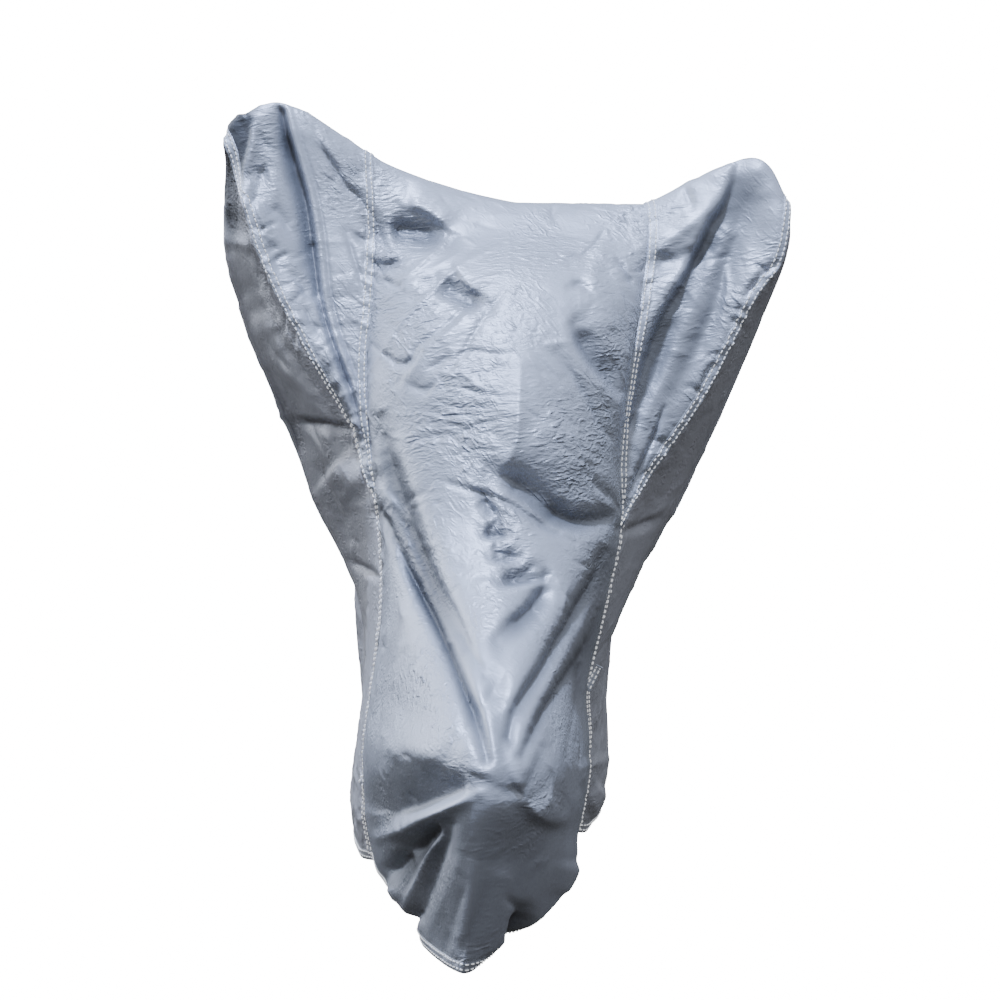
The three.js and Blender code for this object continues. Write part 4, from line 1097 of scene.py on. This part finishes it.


def crinkled_normal(tree, place):
    """Normals of the crinkled coating, as strong as the mesh says at each place."""
    strength = add_node(tree, "ShaderNodeAttribute", attribute_name="crinkle").outputs["Fac"]
    # crinkles lie across the pull of the cloth, level or slanted: about 26 mm long and 8 mm apart
    lean = []
    for tilt in (-0.12, 0.85):
        flat = add_node(tree, "ShaderNodeMapping", {
            "Vector": place, "Rotation": (0.0, tilt, 0.0), "Scale": (0.026, 0.014, 0.008)},
            vector_type="TEXTURE")
        ridges = add_node(tree, "ShaderNodeTexNoise", {
            "Vector": flat.outputs["Vector"], "Scale": 1.0, "Detail": 3.0, "Roughness": 0.55,
            "Distortion": 0.7}, noise_type="RIDGED_MULTIFRACTAL", normalize=True)
        lean.append(ridges.outputs["Fac"])
    # the two lie in patches about 120 mm across
    patch = add_node(tree, "ShaderNodeTexNoise", {"Vector": place, "Scale": 1 / 0.12, "Detail": 0.0})
    share = add_node(tree, "ShaderNodeMapRange", {
        "Value": patch.outputs["Fac"], "From Min": 0.42, "From Max": 0.58})
    crinkle = add_node(tree, "ShaderNodeMix", {
        "Factor": share.outputs["Result"], "A": lean[0], "B": lean[1]})
    deep = add_node(tree, "ShaderNodeBump", {
        "Height": crinkle.outputs["Result"], "Strength": strength, "Distance": 0.0030})
    # a finer net of creases about 4 mm apart
    small = add_node(tree, "ShaderNodeMapping", {
        "Vector": place, "Scale": (1 / 0.010, 1 / 0.006, 1 / 0.004)})
    net = add_node(tree, "ShaderNodeTexNoise", {
        "Vector": small.outputs["Vector"], "Scale": 1.0, "Detail": 2.0, "Roughness": 0.5,
        "Distortion": 0.5})
    folded = add_node(tree, "ShaderNodeBump", {
        "Height": net.outputs["Fac"], "Strength": strength, "Distance": 0.0014,
        "Normal": deep.outputs["Normal"]})
    # taffeta threads are 0.2 mm apart, too fine to show, so the grain is drawn at 1.6 mm
    grain = add_node(tree, "ShaderNodeTexNoise", {"Vector": place, "Scale": 1 / 0.0016, "Detail": 1.0})
    fine = add_node(tree, "ShaderNodeBump", {
        "Height": grain.outputs["Fac"], "Strength": 0.25, "Distance": 0.0003,
        "Normal": folded.outputs["Normal"]})
    return fine.outputs["Normal"]


def shades(colour, *shares):
    """A colour at several shares of its brightness, none above white."""
    return [(*[min(c * share, 1.0) for c in colour], 1.0) for share in shares]


@functools.lru_cache(maxsize=None)
def coated_cloth(name, colour, metallic, roughness):
    """Polyester taffeta with a rolled-on aluminium-pigment coating.

    The pigment gives a satin metallic sheen, and the stiff coating takes fine crinkles that stay.
    """
    material, tree = new_material(name)
    place = add_node(tree, "ShaderNodeTexCoord").outputs["Object"]
    # the coating is paler and duller in clouds about 140 mm across
    cloud = add_node(tree, "ShaderNodeTexNoise", {
        "Vector": place, "Scale": 1 / 0.14, "Detail": 3.0}).outputs["Fac"]
    dull, pale, shade = shades(colour, 0.88, 1.12, CREASE_SHADE_TONE)
    tone = add_node(tree, "ShaderNodeMix", {"Factor": cloud, "A": dull, "B": pale}, data_type="RGBA")
    # deep creases are darkened in the colour with their depth, a painted shade for the shade between
    # layers of cloth that touch, which one sheet lacks
    shade_share = add_node(tree, "ShaderNodeAttribute", attribute_name="crease").outputs["Fac"]
    tone = add_node(tree, "ShaderNodeMix", {
        "Factor": shade_share, "A": tone.outputs[2], "B": shade}, data_type="RGBA")
    shine = add_node(tree, "ShaderNodeMapRange", {
        "Value": cloud, "From Min": 0.3, "From Max": 0.7,
        "To Min": roughness - 0.05, "To Max": roughness + 0.05})
    shader = add_node(tree, "ShaderNodeBsdfPrincipled", {
        "Base Color": tone.outputs[2], "Metallic": metallic, "Roughness": shine.outputs["Result"],
        "Normal": crinkled_normal(tree, place)})
    add_node(tree, "ShaderNodeOutputMaterial", {"Surface": shader.outputs["BSDF"]})
    return material


@functools.lru_cache(maxsize=None)
def yarn(name, colour, pitch, tones, bump, roughness, glow=0.0):
    """Matt yarn, broken up by a grain of some pitch in metres: shares of its colour in the grain's
    hollows and on its tops, and strength and height of its bump."""
    material, tree = new_material(name)
    place = add_node(tree, "ShaderNodeTexCoord").outputs["Object"]
    grain = add_node(tree, "ShaderNodeTexNoise", {
        "Vector": place, "Scale": 1 / pitch, "Detail": 1.0}).outputs["Fac"]
    raised = add_node(tree, "ShaderNodeBump", {"Height": grain, "Strength": bump[0], "Distance": bump[1]})
    low, high = shades(colour, *tones)
    tone = add_node(tree, "ShaderNodeMix", {"Factor": grain, "A": low, "B": high}, data_type="RGBA")
    # an emission glow, where one is given, is painted light
    shader = add_node(tree, "ShaderNodeBsdfPrincipled", {
        "Base Color": tone.outputs[2], "Roughness": roughness, "Normal": raised.outputs["Normal"],
        "Emission Color": (*colour, 1.0), "Emission Strength": glow})
    add_node(tree, "ShaderNodeOutputMaterial", {"Surface": shader.outputs["BSDF"]})
    return material


def white_thread():
    """Spun polyester sewing thread: matt, with a ply of about 1 mm that breaks up its light.

    A little painted glow stands in for its whiteness in the shade of the folds, though the thread is no
    lamp.
    """
    colour = tuple(bpy.context.scene.cover_colours.thread)
    return yarn("white_polyester_thread", colour, 0.001, (0.86, 1.0), (0.4, 0.0003), 0.7, glow=0.55)


def woven_webbing():
    """Woven polypropylene webbing: matt, with a weave of about 1.1 mm that catches the light."""
    colour = tuple(bpy.context.scene.cover_colours.webbing)
    return yarn("woven_polypropylene_webbing", colour, 0.0011, (0.7, 1.25), (0.6, 0.0004), 0.75)


def cloth_of(key):
    """Material and slot of a panel's cloth: on the side panels a less metallic copy of the silver cloth,
    coloured as a painted shade.
    """
    colours = bpy.context.scene.cover_colours
    if "side" in key:
        grey = coated_cloth("grey_coated_polyester", tuple(colours.shaded), 0.12, 0.55)
        return grey, "grey_coated_cloth"
    silver = coated_cloth("silver_coated_polyester", tuple(colours.silver), 0.40, 0.48)
    return silver, "silver_coated_cloth"


# Operators


def panel_piece(node, key):
    """One cloth panel that stands for its solid."""
    points, _, crinkle, crease = draped_panels()[key]
    faces = grid_faces(*points.shape[:2], TURN[key])
    piece = new_piece(node + "_cloth", points, faces, *cloth_of(key), crinkle, crease)
    weld(piece)
    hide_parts(node)


class CentrePanel(bpy.types.Operator):
    """Make the long centre panel."""

    bl_idname = "cover.centre_panel"
    bl_label = "Centre panel"

    def execute(self, context):
        panel_piece("centre_panel", "centre")
        return {"FINISHED"}


class Gussets(bpy.types.Operator):
    """Make both handlebar gussets."""

    bl_idname = "cover.gussets"
    bl_label = "Handlebar gussets"

    def execute(self, context):
        for side in ("left", "right"):
            panel_piece(side + "_handlebar_gusset", side + " gusset")
        return {"FINISHED"}


class SidePanels(bpy.types.Operator):
    """Make both side panels."""

    bl_idname = "cover.side_panels"
    bl_label = "Side panels"

    def execute(self, context):
        for side in ("left", "right"):
            panel_piece(side + "_side_panel", side + " side")
        return {"FINISHED"}


SEAM_STEP = 0.004  # metres between the points of a seam or hem
STITCH_ROWS = 2
STITCH_LIFT, HEM_LIFT = 0.5, 0.5  # lift of the stitches and of a hem, over that of a felled seam
# Seams and hems: piece, panel, edge, sense of its faces, first and last section along the centre panel or
# None. A seam is felled onto the panel that shows it.
SEAM_LINES = [
    ("left_front_seam", "left side", "first column", -1, None),
    ("right_front_seam", "right side", "first column", 1, None),
    ("left_rear_seam", "centre", "first column", -1, ("tank", "rear hem")),
    ("right_rear_seam", "centre", "last column", 1, ("tank", "rear hem")),
    ("left_bar_seam", "left gusset", "first column", 1, None),
    ("right_bar_seam", "right gusset", "first column", -1, None),
    ("left_gusset_seam", "left gusset", "last column", -1, None),
    ("right_gusset_seam", "right gusset", "last column", 1, None),
]
HEM_LINES = [
    ("front_hem", "centre", "first row", 1, None),
    ("rear_hem", "centre", "last row", -1, None),
    ("left_side_hem", "left side", "last row", -1, None),
    ("right_side_hem", "right side", "last row", 1, None),
]
# Section of a hem, from its outer edge round its fold to its inside: shares of its width and its lift
HEM_PROFILE = [
    (1, -0.2), (0.93, 1), (0.5, 0.9), (0.1, 1.2), (-0.08, 0.6), (-0.1, -0.6), (0.1, -1.4), (1, -1.2),
]


def sewn_stretch(key, stretch):
    """Grid and normals of the stretch of a panel along which a seam is sewn."""
    points, normals, _, _ = draped_panels()[key]
    if stretch is None:
        return points, normals
    first, last = (row_of(name) for name in stretch)
    return points[first:last + 1], normals[first:last + 1]


def sew_strips(lines, profile):
    """Make a band of one profile along each of the seams or hems."""
    for name, key, edge, turn, stretch in lines:
        spots, faces = strip(*sewn_stretch(key, stretch), edge, profile, SEAM_STEP, turn)
        new_piece(name, spots, faces, *cloth_of(key))


class FelledSeams(bpy.types.Operator):
    """Make the raised felled seams along the long seams and the gussets' outer edges."""

    bl_idname = "cover.felled_seams"
    bl_label = "Felled seams"

    def execute(self, context):
        sizes = context.scene.cover_sizes
        lift, first, apart = sizes.seam_lift, sizes.row_inset, sizes.row_spacing
        second = first + apart
        wide = second + first
        # the strip stands proud between its stitch rows, which draw it in
        sew_strips(SEAM_LINES, [
            (0, 0.3 * lift), (0.5 * first, lift), (first, 0.2 * lift), (first + 0.5 * apart, lift),
            (second, 0.2 * lift), (wide - 0.4 * first, 0.9 * lift), (wide, -0.3 * lift)])
        return {"FINISHED"}


class Hems(bpy.types.Operator):
    """Make the turned hems round the lower edge."""

    bl_idname = "cover.hems"
    bl_label = "Hems"

    def execute(self, context):
        sizes = context.scene.cover_sizes
        wide, lift = sizes.hem_width, HEM_LIFT * sizes.seam_lift
        sew_strips(HEM_LINES, [(across * wide, up * lift) for across, up in HEM_PROFILE])
        return {"FINISHED"}


class Topstitching(bpy.types.Operator):
    """Sew two rows of white stitches along every seam and hem."""

    bl_idname = "cover.topstitching"
    bl_label = "Topstitching"

    def execute(self, context):
        sizes = context.scene.cover_sizes
        for name, key, edge, _, stretch in SEAM_LINES + HEM_LINES:
            points, normals = sewn_stretch(key, stretch)
            rows = []
            for k in range(STITCH_ROWS):
                line, facing = inset_line(points, normals, edge, sizes.row_inset + k * sizes.row_spacing)
                rows.append(stitches(line, facing, sizes, STITCH_LIFT * sizes.seam_lift))
            spots, faces = joined(rows)
            new_piece(name + "_stitches", spots, faces, white_thread(), cloth_of(key)[1])
        return {"FINISHED"}


# Strap loop in metres and radians; its direction, how far it lifts off the cloth, and where it starts
STRAP = {"flat": 0.034, "width": 0.011, "thick": 0.0024, "curl_radius": 0.007, "curl_turn": 1.9}
STRAP_LIE, STRAP_LIFT, STRAP_ROOT = (0.45, 0, 0.89), 0.45, 0.0012
STRAP_RINGS, STRAP_SECTION = 40, 20
STRAP_CORNER = 6  # power of its rounded section
STRAP_ROWS = (-0.27, 0.27)  # stitch rows, in widths from the middle
TOWARDS_FRONT = (0.0, -1.0, 0.0)  # the loop turns its face to the front


def strap_course():
    """Middle line of the strap loop, the direction across it, and the direction out of its face."""
    points, normals, _, _ = draped_panels()["centre"]
    row = row_of("mudguard")
    root, out = points[row, -1], normals[row, -1]
    lie = np.asarray(STRAP_LIE, float)
    flat = unit(lie - out * (lie @ out))
    along = unit(flat + out * STRAP_LIFT)
    across = unit(np.cross(along, TOWARDS_FRONT))
    up = np.cross(across, along)
    thick, radius = STRAP["thick"], STRAP["curl_radius"] + STRAP["thick"] / 2
    s = np.linspace(0, STRAP["flat"] + radius * STRAP["curl_turn"], STRAP_RINGS)
    turn = np.clip((s - STRAP["flat"]) / radius, 0, None)
    ahead = np.minimum(s, STRAP["flat"]) + radius * np.sin(turn)
    above = thick / 2 + radius * (1 - np.cos(turn))
    middle = root + out * STRAP_ROOT + ahead[:, None] * along + above[:, None] * up
    return middle, across, -np.sin(turn)[:, None] * along + np.cos(turn)[:, None] * up


def strap_body(middle, across, rise):
    """Closed grid of the strap's rounded section along its course, with a cap at either end."""
    angle = np.linspace(0, 2 * math.pi, STRAP_SECTION, endpoint=False)
    n = STRAP_CORNER
    corner = (np.abs(np.cos(angle)) ** n + np.abs(np.sin(angle)) ** n) ** (-1 / n)
    wide, high = STRAP["width"] / 2 * corner * np.cos(angle), STRAP["thick"] / 2 * corner * np.sin(angle)
    rings = middle[:, None, :] + wide[None, :, None] * across + high[None, :, None] * rise[:, None, :]
    closed = np.concatenate([rings, rings[:, :1]], axis=1)
    caps = [np.repeat(middle[k][None, None, :], STRAP_SECTION + 1, axis=1) for k in (0, -1)]
    return np.concatenate([caps[0], closed, caps[1]], axis=0)


class StrapLoop(bpy.types.Operator):
    """Make the webbing strap loop on the right seam, curled at its free end."""

    bl_idname = "cover.strap_loop"
    bl_label = "Strap loop"

    def execute(self, context):
        sizes = context.scene.cover_sizes
        middle, across, rise = strap_course()
        body = strap_body(middle, across, rise)
        faces = grid_faces(*body.shape[:2], 1)
        piece = new_piece("strap_loop_webbing", body, faces, woven_webbing(), "strap_webbing")
        weld(piece, FINE_WELD)
        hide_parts("strap_loop")
        rows = []
        for inset in STRAP_ROWS:
            line = middle + across * inset * STRAP["width"]
            rows.append(stitches(line, rise, sizes, STRAP["thick"] / 2))
        spots, faces = joined(rows)
        new_piece("strap_loop_stitches", spots, faces, white_thread(), "strap_webbing")
        return {"FINISHED"}


# Lights: name, direction towards it, angle across in degrees, strength, colour
LIGHTS = [
    ("key_light", (-0.11, -0.16, 0.981), 4.0, 6.1, "#c6d8ff"),
    ("fill_light", (-0.85, 0.42, 0.32), 50.0, 2.4, "#e6eeff"),
]
LIGHT_DISTANCE = 4
# Sky: rise (-1 straight down, 1 straight up), colour, level
SKY = [
    (-1.0, "#ffffff", 0.04),
    (-0.05, "#ffffff", 0.09),
    (0.15, "#eef3fd", 0.50),
    (0.6, "#dfe8fb", 0.97),
    (1.0, "#dfe8fb", 0.97),
]
SKY_PEAK = max(row[2] for row in SKY)
FLOOR_GLOW, FLOOR_DROP = 18.0, 0.006
# Floor that sweeps up far away: metres out and up
SWEEP = [(0.0, 0.0), (20.0, 0.0), (50.0, 0.0), (58.0, 1.5), (62.0, 6.0), (63.0, 14.0), (63.0, 40.0)]
SWEEP_SIDES = 64
SENSOR, SIGHT = 36.0, 300.0  # width of the camera's sensor in mm, and metres that it sees


def lay_floor(scene):
    """Pale glowing paper under the cover, which lights nothing."""
    material, tree = new_material("matt_studio_paper")
    pale = (*tuple(scene.cover_colours.floor), 1.0)
    shader = add_node(tree, "ShaderNodeBsdfPrincipled", {
        "Base Color": pale, "Roughness": 0.9, "Emission Color": pale, "Emission Strength": FLOOR_GLOW})
    add_node(tree, "ShaderNodeOutputMaterial", {"Surface": shader.outputs["BSDF"]})
    low = CAD_BOX[0][2] - FLOOR_DROP
    turn = np.linspace(0, 2 * math.pi, SWEEP_SIDES + 1)
    circle = np.stack([np.cos(turn), np.sin(turn)], axis=1)
    rings = np.stack([np.column_stack([far * circle, np.full(len(turn), low + up)]) for far, up in SWEEP])
    mesh = bpy.data.meshes.new("studio_floor")
    mesh.from_pydata(rings.reshape(-1, 3).tolist(), [], grid_faces(*rings.shape[:2], -1).tolist())
    mesh.materials.append(material)
    floor = bpy.data.objects.new("studio_floor", mesh)
    floor.visible_diffuse = False
    floor.visible_glossy = False
    bpy.context.collection.objects.link(floor)
    weld(floor)


def hang_sky(scene):
    """Soft light from all around, brighter from above."""
    world = bpy.data.worlds.new("soft_studio")
    world.use_nodes = True
    tree = world.node_tree
    tree.nodes.clear()
    place = add_node(tree, "ShaderNodeTexCoord").outputs["Generated"]
    height = add_node(tree, "ShaderNodeSeparateXYZ", {"Vector": place}).outputs["Z"]
    share = add_node(tree, "ShaderNodeMapRange", {"Value": height, "From Min": -1.0, "From Max": 1.0})
    ramp = add_node(tree, "ShaderNodeValToRGB", {"Fac": share.outputs["Result"]})
    stops = ramp.color_ramp.elements
    while len(stops) < len(SKY):
        stops.new(1.0)
    for stop, (rise, colour, level) in zip(stops, SKY):
        stop.position = (rise + 1) / 2
        stop.color = (*[c * level / SKY_PEAK for c in linear(colour)], 1.0)
    glow = add_node(tree, "ShaderNodeBackground", {
        "Color": ramp.outputs["Color"], "Strength": SKY_PEAK})
    add_node(tree, "ShaderNodeOutputWorld", {"Surface": glow.outputs["Background"]})
    scene.world = world


def hang_lights():
    for name, toward, angle, strength, colour in LIGHTS:
        lamp = bpy.data.lights.new(name, "SUN")
        lamp.angle, lamp.energy = math.radians(angle), strength
        lamp.color = linear(colour)
        light = bpy.data.objects.new(name, lamp)
        light.rotation_euler = Vector(toward).to_track_quat("Z", "Y").to_euler()
        light.location = Vector(toward) * LIGHT_DISTANCE
        bpy.context.collection.objects.link(light)


def set_camera(scene):
    view = bpy.data.cameras.new("photo_view")
    view.sensor_width = SENSOR
    view.lens = FOCAL * view.sensor_width
    view.clip_end = SIGHT
    camera = bpy.data.objects.new("photo_view", view)
    camera.location = in_frame(EYE)
    camera.rotation_euler = (math.pi / 2 - PITCH, 0, 0)
    bpy.context.collection.objects.link(camera)
    scene.camera = camera


class Stage(bpy.types.Operator):
    """Set the pale floor, the soft studio light and the camera."""

    bl_idname = "cover.stage"
    bl_label = "Stage"

    def execute(self, context):
        lay_floor(context.scene)
        hang_sky(context.scene)
        hang_lights()
        set_camera(context.scene)
        return {"FINISHED"}


class CoverPanel(bpy.types.Panel):
    """Steps of the cover, in order."""

    bl_idname = "VIEW3D_PT_cover"
    bl_label = "Motorcycle cover"
    bl_space_type = "VIEW_3D"
    bl_region_type = "UI"
    bl_category = "Cover"

    def draw(self, context):
        for step in STEPS:
            self.layout.operator(step.bl_idname)


STEPS = (CentrePanel, Gussets, SidePanels, FelledSeams, Hems, Topstitching, StrapLoop, Stage)
CLASSES = (CoverSizes, CoverColours) + STEPS + (CoverPanel,)


def register():
    for cls in CLASSES:
        bpy.utils.register_class(cls)
    bpy.types.Scene.cover_sizes = bpy.props.PointerProperty(type=CoverSizes)
    bpy.types.Scene.cover_colours = bpy.props.PointerProperty(type=CoverColours)


def unregister():
    del bpy.types.Scene.cover_colours
    del bpy.types.Scene.cover_sizes
    for cls in reversed(CLASSES):
        bpy.utils.unregister_class(cls)


def main():
    register()
    for step in STEPS:
        group, name = step.bl_idname.split(".")
        getattr(getattr(bpy.ops, group), name)()


if __name__ == "__main__":
    main()
